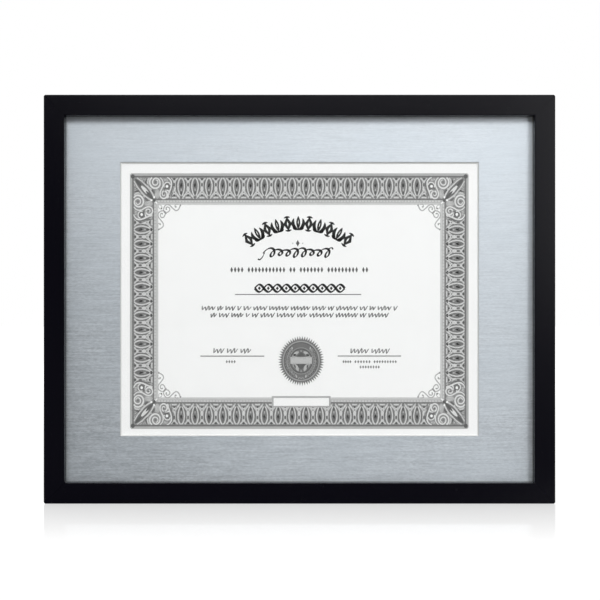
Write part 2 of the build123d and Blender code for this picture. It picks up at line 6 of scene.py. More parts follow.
import bmesh
import bpy
import numpy as np
from bpy.props import FloatProperty, FloatVectorProperty, IntProperty, PointerProperty
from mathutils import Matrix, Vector

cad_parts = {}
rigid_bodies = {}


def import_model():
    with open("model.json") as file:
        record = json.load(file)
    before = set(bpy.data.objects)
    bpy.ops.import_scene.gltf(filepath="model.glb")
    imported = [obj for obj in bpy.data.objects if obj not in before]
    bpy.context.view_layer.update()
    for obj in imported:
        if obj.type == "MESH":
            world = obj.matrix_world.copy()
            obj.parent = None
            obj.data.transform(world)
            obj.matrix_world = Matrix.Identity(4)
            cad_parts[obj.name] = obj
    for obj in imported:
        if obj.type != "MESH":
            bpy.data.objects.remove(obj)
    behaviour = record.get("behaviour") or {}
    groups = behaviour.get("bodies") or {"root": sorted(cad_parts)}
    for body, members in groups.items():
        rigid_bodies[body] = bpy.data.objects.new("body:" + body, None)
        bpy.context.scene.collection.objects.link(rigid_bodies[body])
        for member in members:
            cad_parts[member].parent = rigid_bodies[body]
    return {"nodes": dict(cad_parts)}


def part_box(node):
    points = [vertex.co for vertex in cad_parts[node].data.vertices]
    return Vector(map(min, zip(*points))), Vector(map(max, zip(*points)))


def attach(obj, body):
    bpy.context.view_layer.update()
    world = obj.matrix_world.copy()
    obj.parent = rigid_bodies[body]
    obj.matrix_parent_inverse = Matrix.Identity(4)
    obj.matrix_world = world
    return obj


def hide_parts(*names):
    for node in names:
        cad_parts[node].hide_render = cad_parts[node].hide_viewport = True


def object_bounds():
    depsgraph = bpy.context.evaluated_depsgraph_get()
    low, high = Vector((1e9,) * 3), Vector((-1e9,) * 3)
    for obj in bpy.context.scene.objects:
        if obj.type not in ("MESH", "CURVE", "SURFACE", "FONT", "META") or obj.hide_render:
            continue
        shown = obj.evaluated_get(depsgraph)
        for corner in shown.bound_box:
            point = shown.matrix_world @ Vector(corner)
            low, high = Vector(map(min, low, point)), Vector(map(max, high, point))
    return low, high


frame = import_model()
cad_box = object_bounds()

bl_info = {
    "name": "Certificate Frame",
    "version": (1, 0, 0),
    "blender": (4, 5, 0),
    "location": "3D View > Sidebar > Frame",
    "description": "Finishes for a matted certificate frame with an easel back",
    "category": "Add Mesh",
}

MM = 0.001
WHITE = (1, 1, 1)

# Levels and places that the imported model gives, in metres
SHEET_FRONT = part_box("certificate")[0].y
GLASS_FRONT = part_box("glass")[0].y
BOARD_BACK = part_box("backboard")[1].y
FRONT_Y, BACK_Y = (corner.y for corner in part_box("left_stile"))
FRAME_HALF = -cad_box[0].x
FRAME_TOP = cad_box[1].z
MIDDLE_Z = FRAME_TOP / 2


def grey(level):
    """The linear colour of a neutral grey whose display level is 0 to 255."""
    value = ((level / 255 + 0.055) / 1.055) ** 2.4
    return value, value, value


# Settings

def measure(name, description, default, unit="LENGTH"):
    """A property that holds a length, or another measure where the unit says so."""
    return FloatProperty(name=name, description=description, default=default, unit=unit)


class RailSettings(bpy.types.PropertyGroup):
    lacquer: FloatVectorProperty(
        name="Lacquer", description="Colour of the satin lacquer on the rails",
        subtype="COLOR", default=(0.0016, 0.0014, 0.0038), min=0, max=1)
    face_width: measure("Face width", "Width of the moulding seen from the front", 15.4 * MM)
    wall_width: measure("Wall width", "Width of the moulding behind the lip", 11.4 * MM)
    corner_radius: measure("Corner radius", "How far the four outer corners are sanded round", 1.5 * MM)
    joint_ease: measure("Joint ease", "Bevel that leaves the hairline along each mitre", 0.07 * MM)


class PrintSettings(bpy.types.PropertyGroup):
    unit: measure("Design unit", "Size of one unit of the printed design", 0.7507 * MM)
    shift: FloatVectorProperty(
        name="Shift", description="How far the print sits from the middle of the frame, right and down",
        default=(-0.18 * MM, 1.43 * MM), size=2, unit="LENGTH")
    ink_gap: measure("Ink gap", "Height of each printed tone over the one under it", 0.02 * MM)
    long_figures: IntProperty(
        name="Figures, long side", description="Pointed figures along the top and bottom bands", default=18)
    short_figures: IntProperty(
        name="Figures, short side", description="Pointed figures along the side bands", default=11)


class HardwareSettings(bpy.types.PropertyGroup):
    rivet_radius: measure("Rivet head radius", "Radius of the domed rivet heads", 2.6 * MM)
    rivet_height: measure("Rivet head height", "Height of the domed rivet heads", 0.8 * MM)
    shank_radius: measure("Rivet shank radius", "Radius of the rivets' shanks", 1.3 * MM)


class StageSettings(bpy.types.PropertyGroup):
    camera_distance: measure("Camera distance", "From the frame's front face to the camera", 0.9)
    field_width: measure("Field width", "Width of the picture at the frame's front face", 0.4453)
    key_power: measure("Key lamp", "Power of the large lamp above", 8.8, "POWER")
    side_power: measure("Side lamp", "Power of the low lamp at the right", 3.9, "POWER")
    back_power: measure("Back lamp", "Power of the lamp behind", 18.0, "POWER")
    mirror_fade: measure("Mirror fade", "Distance over which the floor's reflection fades out", 0.15)


# Mesh making

def linked(name, data):
    """A new object of the data, linked to the scene at the origin."""
    piece = bpy.data.objects.new(name, data)
    bpy.context.scene.collection.objects.link(piece)
    return piece


def placed(name, mesh, body):
    """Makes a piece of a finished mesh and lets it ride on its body."""
    piece = linked(name, mesh)
    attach(piece, body)
    return piece


def surface_piece(name, points, faces, body, finishes, ids=None, smooth=False):
    """Makes a piece of whole point and quad arrays. ids gives each face its finish."""
    mesh = bpy.data.meshes.new(name)
    points, faces = np.asarray(points, np.float32), np.asarray(faces, np.int32)
    corners = faces.shape[1]
    mesh.vertices.add(len(points))
    mesh.vertices.foreach_set("co", points.ravel())
    mesh.loops.add(faces.size)
    mesh.loops.foreach_set("vertex_index", faces.ravel())
    mesh.polygons.add(len(faces))
    mesh.polygons.foreach_set("loop_start", np.arange(0, faces.size, corners, dtype=np.int32))
    for finish_used in finishes:
        mesh.materials.append(finish_used)
    if ids is not None:
        mesh.polygons.foreach_set("material_index", np.asarray(ids, np.int32))
    mesh.polygons.foreach_set("use_smooth", np.full(len(faces), smooth))
    mesh.update(calc_edges=True)
    mesh.validate()
    return placed(name, mesh, body)


def outwards(mesh, sharp):
    """Turns every face of a closed mesh outwards, and keeps edges over so many degrees sharp."""
    shape = bmesh.new()
    shape.from_mesh(mesh)
    bmesh.ops.recalc_face_normals(shape, faces=shape.faces)
    shape.to_mesh(mesh)
    shape.free()
    mesh.set_sharp_from_angle(angle=math.radians(sharp))


def lattice_faces(rows, columns, close_rows=False, close_columns=False):
    """Quads of a grid of points numbered row by row, joined round where a direction closes."""
    i = np.arange(rows if close_rows else rows - 1)
    j = np.arange(columns if close_columns else columns - 1)
    i, j = np.meshgrid(i, j, indexing="ij")
    down, right = (i + 1) % rows, (j + 1) % columns
    quads = [i * columns + j, i * columns + right, down * columns + right, down * columns + j]
    return np.stack(quads, -1).reshape(-1, 4)


def arc(centre, radius, start, end, steps):
    """Points at equal angles from start to end, in degrees, round a centre."""
    angle = np.radians(np.linspace(start, end, steps))
    return np.stack([centre[0] + radius * np.cos(angle), centre[1] + radius * np.sin(angle)], 1)


def normals(step):
    """Unit vectors a quarter turn from each step along an outline."""
    return np.stack([-step[:, 1], step[:, 0]], 1) / np.hypot(step[:, 0], step[:, 1])[:, None]


# Flat printed shapes, in design units: x to the right and y down from the print's middle

def strip_faces(count, close=False):
    """Quads between two edges of so many points each, the second edge numbered after the first."""
    i = np.arange(count if close else count - 1)
    following = (i + 1) % count
    return np.stack([i, following, count + following, count + i], 1)


def stroke(path, width):
    """A pen stroke: every point of the path moved half the width to each side along the path's normal.
    Several widths are spread evenly along the path."""
    path, width = np.asarray(path, float), np.atleast_1d(np.asarray(width, float))
    width = np.interp(np.linspace(0, 1, len(path)), np.linspace(0, 1, len(width)), width)
    offset = normals(np.gradient(path, axis=0)) * width[:, None] / 2
    return np.concatenate([path + offset, path - offset]), strip_faces(len(path))


def bend(*points, steps=13):
    """A smooth curve through the points: each coordinate is a cubic blend of its four nearest values."""
    points = np.asarray(points, float)
    padded = np.concatenate([[2 * points[0] - points[1]], points, [2 * points[-1] - points[-2]]])
    t = np.linspace(0, len(points) - 1, steps * (len(points) - 1) // 2 + 1)
    i = np.minimum(t.astype(int), len(points) - 2)
    u = (t - i)[:, None]
    a, b, c, d = (padded[i + k] for k in range(4))
    square, cube = 2 * a - 5 * b + 4 * c - d, 3 * b - a - 3 * c + d
    return 0.5 * (2 * b + (c - a) * u + square * u ** 2 + cube * u ** 3)


def pen(width, *points, steps=13):
    """A pen stroke along a smooth curve through the points."""
    return stroke(bend(*points, steps=steps), width)


def nib(path, held, least, more):
    """The widths of a pen held at one angle: they grow with the sine of the path's direction from it."""
    step = np.gradient(path, axis=0)
    return least + more * abs(np.sin(np.arctan2(step[:, 1], step[:, 0]) + held))


def upright(x, y, width):
    """A stroke straight down through the given heights."""
    return stroke(np.stack([np.full(len(y), x), y], 1), width)


def spot(x, y, half_width, half_height):
    """A filled oval: a stroke down its height whose width follows a half circle."""
    t = np.linspace(-0.995, 0.995, 9)
    return upright(x, y + half_height * t, 2 * half_width * np.sqrt(1 - t * t))


def lozenge(x, y, half_width, half_height, hollow=1.0):
    """A diamond whose width falls evenly from its middle, or with hollow sides where hollow is over 1."""
    t = np.linspace(-0.99, 0.99, 11)
    return upright(x, y + half_height * t, 2 * half_width * (1 - abs(t)) ** hollow)


def leaf(start, end, half_width, lean=0.0, fullness=0.8, steps=11):
    """A leaf between two points: its width swells as a power of a half sine, and its rib bows by lean."""
    start, end = np.asarray(start, float), np.asarray(end, float)
    t = np.linspace(0.02, 0.98, steps)
    along = end - start
    side = np.array([-along[1], along[0]])
    rib = start + along * t[:, None] + side * (lean * np.sin(np.pi * t))[:, None]
    return stroke(rib, 2 * half_width * np.sin(np.pi * t) ** fullness)


def ring(centre, inner, outer, count, tall=1.0):
    """The area between two closed outlines round a centre, each given as one radius or as one per point."""
    angle = np.arange(count) / count * 2 * np.pi
    way = np.stack([np.sin(angle), -np.cos(angle) * tall], 1)
    edges = [centre + way * np.broadcast_to(radius, count)[:, None] for radius in (inner, outer)]
    return np.concatenate(edges), strip_faces(count, close=True)


def bar(x0, y0, x1, y1):
    """A filled rectangle between two corners."""
    return np.array([[x0, y0], [x1, y0], [x0, y1], [x1, y1]], float), strip_faces(2)


def at(places):
    """Maps that move a shape to each place. A map has two rows of three: a matrix, then a shift."""
    return np.array([[[1, 0, x], [0, 1, y]] for x, y in places], float)


def both_sides(maps):
    """The maps, after the same maps for the shape mirrored from left to right."""
    return np.concatenate([maps * [-1, 1, 1], maps])


class Print:
    """Collects flat shapes, each with its ink and layer, and lays them on the sheet as one mesh."""

    def __init__(self, inks, settings):
        self.inks, self.settings = inks, settings
        self.points, self.faces, self.ids, self.layers, self.count = [], [], [], [], 0

    def add(self, ink, layer, shape, maps=at([(0, 0)])):
        """Adds a copy of the shape for each map: the map's matrix times each point, plus its shift."""
        points, faces = shape
        moved = np.einsum("nij,pj->npi", maps[:, :, :2], points) + maps[:, None, :, 2]
        indices = faces[None] + np.arange(len(maps))[:, None, None] * len(points)
        total = moved.reshape(-1, 2)
        self.points.append(total)
        self.faces.append(indices.reshape(-1, 4) + self.count)
        self.ids.append(np.full(len(faces) * len(maps), list(self.inks).index(ink)))
        self.layers.append(np.full(len(total), layer, float))
        self.count += len(total)

    def put(self, maps, *shapes):
        """Adds several shapes, each with its ink and layer, by the same maps."""
        for ink, layer, shape in shapes:
            self.add(ink, layer, shape, maps)

    def lay(self, name):
        """Scales the design to the sheet, sets each layer in front of the last and faces all forwards."""
        settings, flat, faces = self.settings, np.concatenate(self.points), np.concatenate(self.faces)
        x = settings.shift[0] + flat[:, 0] * settings.unit
        y = SHEET_FRONT - settings.ink_gap * (1 + np.concatenate(self.layers))
        z = MIDDLE_Z - settings.shift[1] - flat[:, 1] * settings.unit
        corners = np.stack([x, z], 1)[faces]
        area = np.cross(corners[:, 2] - corners[:, 0], corners[:, 3] - corners[:, 1])
        faces = np.where(area[:, None] < 0, faces[:, ::-1], faces)
        surface_piece(name, np.stack([x, y, z], 1), faces, "frame", list(self.inks.values()),
                      np.concatenate(self.ids))


# Materials

class Number:
    """A number inside a node tree: signs between it and another number add the nodes for the sum."""

    def __init__(self, socket):
        self.socket, self.tree = socket, socket.id_data

    def __add__(self, other):
        return sums("ADD", self, other)

    def __sub__(self, other):
        return sums("SUBTRACT", self, other)

    def __rsub__(self, other):
        return sums("SUBTRACT", other, self)

    def __mul__(self, other):
        return sums("MULTIPLY", self, other)

    def __abs__(self):
        return sums("ABSOLUTE", self, 0.0)


def sums(operation, one, other):
    """One number worked out from two, of which one at least is inside a node tree."""
    tree = (one if isinstance(one, Number) else other).tree
    return Number(node(tree, "Math", {0: one, 1: other}, operation=operation)[0])


def larger(one, other):
    """The larger of two numbers."""
    return sums("MAXIMUM", one, other)


def finish(name):
    """A new material, its node tree and its shader."""
    material = bpy.data.materials.new(name)
    material.use_nodes = True
    return material, material.node_tree, material.node_tree.nodes["Principled BSDF"]


def fill(socket, value):
    """Links an input to a number or another output, or sets it to a plain value."""
    value = getattr(value, "socket", value)
    if isinstance(value, bpy.types.NodeSocket):
        socket.id_data.links.new(value, socket)
    else:
        socket.default_value = (*value, 1) if socket.type == "RGBA" else value


def node(tree, kind, inputs=None, **settings):
    """Adds a node, sets its fields, fills its inputs and gives its outputs."""
    made = tree.nodes.new("ShaderNode" + kind)
    for field, value in settings.items():
        setattr(made, field, value)
    for socket, value in (inputs or {}).items():
        fill(made.inputs[socket], value)
    return made.outputs


def position(tree, space="Object"):
    """The three coordinates of a place as separate numbers."""
    return [Number(part) for part in node(tree, "SeparateXYZ", {0: node(tree, "TexCoord")[space]})]


def place(tree, stretch):
    """Object coordinates, stretched so that a pattern runs along the piece."""
    return node(tree, "Mapping", {"Vector": node(tree, "TexCoord")["Object"], "Scale": stretch})["Vector"]


def mottle(tree, scale, stretch=(1, 1, 1), detail=3.0, roughness=0.55):
    """Soft noise between 0 and 1, drawn out along an axis where the stretch is small."""
    inputs = {"Vector": place(tree, stretch), "Scale": scale, "Detail": detail, "Roughness": roughness}
    return Number(node(tree, "TexNoise", inputs)["Fac"])


def cells(tree, scale, stretch=(1, 1, 1), feature="F1"):
    """How far each place is from the middle of its cell, or from the cell's edge by another feature."""
    inputs = {"Vector": place(tree, stretch), "Scale": scale}
    return Number(node(tree, "TexVoronoi", inputs, feature=feature)[0])


def span(value, low, high, to_low=0.0, to_high=1.0, smooth=False):
    """Turns low to high into to_low to to_high, and holds the ends."""
    inputs = {"Value": value, "From Min": low, "From Max": high, "To Min": to_low, "To Max": to_high}
    kind = "SMOOTHSTEP" if smooth else "LINEAR"
    return Number(node(value.tree, "MapRange", inputs, interpolation_type=kind)["Result"])


def blend_colour(factor, one, other):
    """The first colour at 0 and the second at 1."""
    return node(factor.tree, "Mix", {0: factor, 6: one, 7: other}, data_type="RGBA")[2]


def drive(shader, **inputs):
    """Fills inputs of a shader by their names, with underscores for spaces."""
    for name, value in inputs.items():
        fill(shader.inputs[name.replace("_", " ")], value)


def relief(shader, height, depth):
    """Bumps the shader's normal by a height pattern whose full depth is given in metres."""
    drive(shader, Normal=node(height.tree, "Bump", {"Height": height, "Distance": depth})["Normal"])


def show_mix(tree, share, one, other):
    """Shows two shaders mixed by a share in place of the material's plain one."""
    tree.nodes.remove(tree.nodes["Principled BSDF"])
    drive(tree.nodes["Material Output"], Surface=node(tree, "MixShader", {0: share, 1: one, 2: other})[0])


def rays(tree):
    """Whether a ray comes from the camera, and whether it comes from a mirror or through glass."""
    path = node(tree, "LightPath")
    return Number(path["Is Camera Ray"]), larger(Number(path["Is Glossy Ray"]), path["Is Transmission Ray"])


def satin_rail(name, settings, stretch):
    """Black satin lacquer drawn out along the rail, over fibreboard left raw in the rabbet and behind."""
    material, tree, shader = finish(name)
    lacquer = np.array(settings.lacquer)
    fine = mottle(tree, 950, stretch, 2)
    fibre = mottle(tree, 620, stretch, 5, 0.7)
    black = blend_colour(mottle(tree, 38, stretch, 2), lacquer * (0.85, 0.85, 0.87), lacquer * 1.2)
    raw = blend_colour(span(fibre, 0.3, 0.75), (0.20, 0.135, 0.080), (0.46, 0.35, 0.235))
    x, y, z = position(tree)
    from_wall = larger(abs(x) - FRAME_HALF, abs(z - MIDDLE_Z) - MIDDLE_Z) + settings.wall_width
    turned_in, soft, ragged = 9.7 * MM, 0.2 * MM, 0.5 * MM  # the lacquer's edge on the back of the rail
    wrapped = span(from_wall + fibre * ragged, turned_in, turned_in + soft)
    behind_lip = span(y, GLASS_FRONT - 0.3 * MM, GLASS_FRONT - 0.1 * MM)
    bare = behind_lip * (1 - wrapped)
    rub = span(mottle(tree, 210, detail=4), 0.52, 0.8) * 0.03
    gloss = span(fine, 0.25, 0.75, 0.235, 0.265) + rub
    drive(shader, Base_Color=blend_colour(bare, black, raw), Roughness=gloss + bare * 0.45,
          Specular_IOR_Level=0.10)
    relief(shader, fine * 0.06 + fibre * bare, 0.035 * MM)
    return material


def picture_glass(name):
    """Clear flat glass: light passes straight through, and the share that mirrors grows at a shallow angle.
    Only the side a ray enters mirrors, so that the pane lets slanting light out again."""
    material, tree, _ = finish(name)
    smear = span(mottle(tree, 22), 0.3, 0.8, 0.012, 0.035)
    clear = node(tree, "BsdfTransparent", {"Color": (0.991, 0.994, 0.992)})[0]
    shine = node(tree, "BsdfGlossy", {"Color": WHITE, "Roughness": smear})[0]
    inside = Number(node(tree, "NewGeometry")["Backfacing"])
    mirror = Number(node(tree, "Fresnel", {"IOR": 1.5})[0]) * (1 - inside)
    show_mix(tree, mirror, clear, shine)
    return material


def brushed_foil(name):
    """Silver foil brushed along the width: streaks in its colour, gloss and height, and slow clouds.

    The brushing is stronger towards the foot and in the foot's left corner, where the colour is darkened as
    painted shade.
    """
    material, tree, shader = finish(name)
    low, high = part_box("mat_face")
    x, _, z = position(tree)
    # Painted shade: a mask for the foot's left corner, which darkens the foil there and strengthens its
    # brushing
    painted_shade_lower_left = span(x, low.x, (low.x + high.x) / 2, 1.0, 0.0, True) * span(z, low.z, high.z, 1.0, 0.0, True)
    strength = span(z, low.z, high.z, 0.97, 0.42) + painted_shade_lower_left * 0.6
    hair = mottle(tree, 1, (430, 200, 1350), 3, 0.6)
    brush = mottle(tree, 1, (42, 100, 880), 3, 0.6)
    cloud = mottle(tree, 26, (0.55, 1, 1), 4)
    streak = (hair * 0.45 + brush * 0.42 + cloud * 0.13 - 0.5) * strength + 0.5
    silver = blend_colour(span(streak, 0.34, 0.66), (0.452, 0.490, 0.534), (0.790, 0.835, 0.884))
    silver = blend_colour(span(cloud, 0.35, 0.65, 0, 0.4), silver, (0.574, 0.631, 0.686))
    # Painted shade: the foil's colour darkened by up to a fifth in the foot's left corner
    silver = node(tree, "VectorMath", {0: silver, "Scale": 1 - painted_shade_lower_left * 0.19}, operation="SCALE")[0]
    drive(shader, Base_Color=silver, Metallic=0.6, Roughness=span(streak, 0.35, 0.65, 0.46, 0.56))
    relief(shader, streak, 0.03 * MM)
    return material


def paper_like(name, light, dark, scale, roughness, depth, speck=0.0):
    """Paper or card: fine tooth and slow clouds between two colours, with flecks where speck is over 0."""
    material, tree, shader = finish(name)
    tooth, cloud = mottle(tree, scale, detail=4, roughness=0.65), mottle(tree, scale / 30, detail=2)
    colour = blend_colour(span(tooth * 0.6 + cloud * 0.4, 0.35, 0.65), dark, light)
    if speck:
        fleck = span(mottle(tree, scale * 0.6, detail=1), 0.66, 0.72, 0, speck)
        colour = blend_colour(fleck, colour, np.array(dark) * 0.55)
    drive(shader, Base_Color=colour, Roughness=roughness, IOR=1.45)
    relief(shader, tooth, depth)
    return material


def cut_core(name):
    """White mat core: a cut bevel greyed towards the foil by painted shade, under a thin dark line that is
    partly the foil's cut edge and partly painted shadow.
    """
    material, tree, shader = finish(name)
    tooth = mottle(tree, 900, detail=4, roughness=0.65)
    low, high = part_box("mat_core")
    _, depth, _ = position(tree)
    white = blend_colour(span(tooth, 0.35, 0.65), (0.86, 0.86, 0.85), (0.93, 0.93, 0.925))
    # Painted shade: the bevel greyer towards the foil, as if shadowed by it
    shade = blend_colour(span(depth, low.y, high.y, 0.0, 1.0, True), (0.60, 0.60, 0.605), white)
    # A thin dark line next to the foil: partly its cut edge, partly painted shadow
    edge = span(depth, low.y + 0.1 * MM, low.y + 0.2 * MM, 1.0, 0.0)
    drive(shader, Base_Color=blend_colour(edge, shade, (0.34, 0.345, 0.35)), Roughness=0.85, IOR=1.45)
    relief(shader, tooth, 0.03 * MM)
    return material


def fibreboard(name):
    """Smooth brown fibreboard: pressed fibres of light and dark brown, flecks and faint sanding lines."""
    material, tree, shader = finish(name)
    fibre = mottle(tree, 480, detail=5, roughness=0.75)
    sanding = mottle(tree, 1, (30, 100, 900), 2)
    base = fibre * 0.55 + mottle(tree, 16) * 0.3 + sanding * 0.15
    brown = blend_colour(span(base, 0.36, 0.64), (0.165, 0.098, 0.050), (0.385, 0.262, 0.155))
    fleck = span(cells(tree, 420, (1, 1, 0.45)), 0.08, 0.16, 0.55, 0.0)
    drive(shader, Base_Color=blend_colour(fleck, brown, (0.075, 0.043, 0.022)),
          Roughness=span(fibre, 0.3, 0.7, 0.62, 0.78), IOR=1.45)
    relief(shader, fibre, 0.05 * MM)
    return material


def plated_steel(name, light, dark, roughness, stretch, depth=0.004 * MM):
    """Plated sheet steel: fine rolling lines, cloudy plating and a few scratches."""
    material, tree, shader = finish(name)
    lines = mottle(tree, 1, stretch, 3, 0.6)
    scratch = span(cells(tree, 1.0, (90, 340, 700), "DISTANCE_TO_EDGE"), 0.0, 0.025, 1.0, 0.0)
    tone = lines * 0.5 + mottle(tree, 160) * 0.5
    drive(shader, Base_Color=blend_colour(span(tone, 0.32, 0.68), dark, light), Metallic=1.0,
          Roughness=span(tone, 0.3, 0.7, roughness + 0.07, roughness - 0.05) + scratch * 0.12)
    relief(shader, lines - scratch * 0.4, depth)
    return material


def black_paper(name):
    """Black grained paper glued over the leg: small rounded pebbles with a soft sheen."""
    material, tree, shader = finish(name)
    pebble = cells(tree, 850, feature="SMOOTH_F1")
    scuff = span(mottle(tree, 130, (1, 1, 0.2), 4), 0.62, 0.85, 0, 0.5)
    black = blend_colour(mottle(tree, 45), (0.0075, 0.0075, 0.008), (0.013, 0.013, 0.0135))
    drive(shader, Base_Color=blend_colour(scuff, black, (0.022, 0.022, 0.023)),
          Roughness=span(pebble, 0.1, 0.7, 0.48, 0.66), IOR=1.46)
    relief(shader, pebble, -0.06 * MM)
    return material


def ink_finish(name, level):
    """Printed ink: its grey lightly broken by the paper's tooth."""
    material, tree, shader = finish(name)
    tooth = mottle(tree, 2600, detail=2)
    colour = blend_colour(span(tooth, 0.35, 0.65), grey(level - 5), grey(min(level + 5, 253)))
    drive(shader, Base_Color=colour, Roughness=0.55, IOR=1.45)
    relief(shader, tooth, 0.01 * MM)
    return material


def dress(nodes, material):
    """Puts a material in every slot of each CAD node."""
    for name in nodes:
        for slot in frame["nodes"][name].material_slots:
            slot.material = material


# Rails

def moulding_section(face, wall, ease=0.0):
    """The rail's closed outline as (inward, depth) pairs in millimetres: straight runs joined by quarter
    arcs, all moved in by ease. A point just outside each arc keeps the runs flat under smooth shading."""
    front, back, seat, groove = (level / MM for level in (FRONT_Y, BACK_Y, GLASS_FRONT, BOARD_BACK))
    outer, inner, inside, rear = 0.9, 0.5, 0.4, 0.6  # radii, from the outer front edge round to the rear one
    near, nick = 0.04, 0.05  # from an arc's end to the point outside it; the small bevels at the seat
    bottom, end = wall - 3.2, groove + 1.1  # the groove behind the backboard
    loop = np.concatenate([
        [(0, front + outer + near)], arc((outer, front + outer), outer, 180, 270, 8),
        [(outer + near, front)],
        [(face - inner - near, front)], arc((face - inner, front + inner), inner, 270, 360, 6),
        [(face, front + inner + near)],
        [(face, seat - 2 * nick), (face - 2 * nick, seat), (wall + nick, seat), (wall, seat + nick)],
        [(wall, groove), (bottom, groove), (bottom, end), (wall, end)],
        [(wall, back - inside - near)], arc((wall - inside, back - inside), inside, 0, 90, 5),
        [(wall - inside - near, back), (rear + near, back)], arc((rear, back - rear), rear, 90, 180, 6),
        [(0, back - rear - near)],
    ])
    return loop + normals(np.roll(loop, -1, 0) - np.roll(loop, 1, 0)) * ease


def rail_points(length, section, eased, radius, ease, steps=5):
    """Carries the section along one rail: each of its points follows a line parallel to the outside, which
    turns through an eighth of a circle at both ends and stops on the mitre plane, where it is eased."""
    least = 0.06  # the smallest turn, so that the points of a line stay apart
    bevel = 1.3 * ease  # how far the full section stands back from the mitre
    inward = section[:, 0]
    turn = np.maximum(radius - inward, least)
    angle = np.radians(np.linspace(225, 270, steps))
    half = length / 2
    along = -half + inward[:, None] + turn[:, None] * (1 + np.cos(angle))
    across = inward[:, None] + turn[:, None] * (1 + np.sin(angle))
    along[:, 0] += bevel
    start = -half + eased[:, 0] + np.maximum(radius - eased[:, 0], least) * (1 - math.sqrt(0.5))
    along = np.concatenate([start[:, None], along], 1)
    across = np.concatenate([(start + half)[:, None], across], 1)
    depth = np.concatenate([eased[:, 1:], np.repeat(section[:, 1:], steps, 1)], 1)
    return (np.concatenate([along, -along[:, ::-1]], 1), np.concatenate([across, across[:, ::-1]], 1),
            np.concatenate([depth, depth[:, ::-1]], 1))


def rail_piece(side, replaced, length, finish_used, settings):
    """One rail: the carried section with its two ends closed on the mitre planes, turned to its side."""
    face, wall, radius, ease = (value / MM for value in (
        settings.face_width, settings.wall_width, settings.corner_radius, settings.joint_ease))
    section, eased = moulding_section(face, wall), moulding_section(face, wall, ease)
    along, across, depth = rail_points(length / MM, section, eased, radius, ease)
    rows, columns = along.shape
    half, top = FRAME_HALF / MM, FRAME_TOP / MM
    x, z = {"bottom": (along, across), "top": (-along, top - across),
            "left": (-half + across, top / 2 - along), "right": (half - across, top / 2 + along)}[side]
    points = np.stack([x, depth, z], -1).reshape(-1, 3) * MM
    last = columns - 1
    ends = [list(range(0, rows * columns, columns)), list(range(last, rows * columns, columns))[::-1]]
    name = "moulding_" + side
    mesh = bpy.data.meshes.new(name)
    mesh.from_pydata(points.tolist(), [], lattice_faces(rows, columns, close_rows=True).tolist() + ends)
    mesh.polygons.foreach_set("use_smooth", np.ones(len(mesh.polygons), bool))
    mesh.materials.append(finish_used)
    outwards(mesh, 35)
    piece = placed(name, mesh, "frame")
    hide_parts(replaced)


class FRAME_OT_rails(bpy.types.Operator):
    """Makes the four mitred rails in satin black"""
    bl_idname = "frame.rails"
    bl_label = "Rails"

    def execute(self, context):
        settings = context.scene.frame_rails
        along_x = satin_rail("satin_black_level", settings, (0.12, 1, 1))
        along_z = satin_rail("satin_black_upright", settings, (1, 1, 0.12))
        for side, replaced, length, used in (
                ("top", "top_rail", 2 * FRAME_HALF, along_x),
                ("bottom", "bottom_rail", 2 * FRAME_HALF, along_x),
                ("left", "left_stile", FRAME_TOP, along_z),
                ("right", "right_stile", FRAME_TOP, along_z)):
            rail_piece(side, replaced, length, used, settings)
        dress(["corner_v_nails"], plated_steel(
            "bright_nail_steel", (0.62, 0.62, 0.63), (0.42, 0.42, 0.43), 0.38, (300,) * 3))
        return {"FINISHED"}


class FRAME_OT_sheets(bpy.types.Operator):
    """Finishes the glass, the mat, the certificate's paper and the boards behind it"""
    bl_idname = "frame.sheets"
    bl_label = "Glass, mat and boards"

    def execute(self, context):
        dress(["glass"], picture_glass("picture_glass"))
        dress(["mat_face"], brushed_foil("brushed_silver_foil"))
        dress(["mat_core"], cut_core("mat_core_white"))
        dress(["certificate"], paper_like(
            "certificate_paper", (0.955, 0.953, 0.955), (0.935, 0.933, 0.935), 1500, 0.7, 0.01 * MM))
        dress(["insert_board"], paper_like(
            "grey_insert_card", (0.52, 0.50, 0.45), (0.36, 0.34, 0.30), 500, 0.85, 0.05 * MM, 0.5))
        dress(["backboard"], fibreboard("brown_fibreboard"))
        return {"FINISHED"}


# Printed sheet

# Sizes in design units. Of two values, the first is for the long sides and the second for the short ones
HALF_X, HALF_Y = 169.6, 128.05  # half the print's width and height
FIGURE_PITCHES = 13.9, 14.33
FIGURE_SHIFT = -0.15
DASHES = (140.5, 3.05), (99.0, 3.3)  # how far they reach from the middle, and their pitch

# The border's scale in x and in y, which makes it a little wider at the top and bottom than at the sides
BAND_X, BAND_Y = 28.4 / 30, 31.6 / 30


def side_maps(along_x, along_y):
    """Maps that lay one figure of the band along all four sides: its x runs along, its y inwards."""
    maps = []
    for sign in (-1, 1):
        maps += [[[BAND_X, 0, u], [0, -sign * BAND_Y, sign * HALF_Y]] for u in along_x]
        maps += [[[0, -sign * BAND_X, sign * HALF_X], [BAND_Y, 0, u]] for u in along_y]
    return np.array(maps)


def corner_maps():
    """Maps that lay the corner design, drawn right and down from a corner, at all four corners, and mirrored
    across the diagonal."""
    maps = []
    for sx in (-1, 1):
        for sy in (-1, 1):
            maps.append([[-sx * BAND_X, 0, sx * HALF_X], [0, -sy * BAND_Y, sy * HALF_Y]])
            maps.append([[0, -sx * BAND_X, sx * HALF_X], [-sy * BAND_Y, 0, sy * HALF_Y]])
    return np.array(maps)


def frame_band(outside, inside):
    """A band that runs round the print, between two distances in from its outline."""
    outline = np.array([[-1, -1], [1, -1], [1, 1], [-1, 1]])
    edges = [outline * [HALF_X - d * BAND_X, HALF_Y - d * BAND_Y] for d in (outside, inside)]
    return np.concatenate(edges), strip_faces(4, close=True)


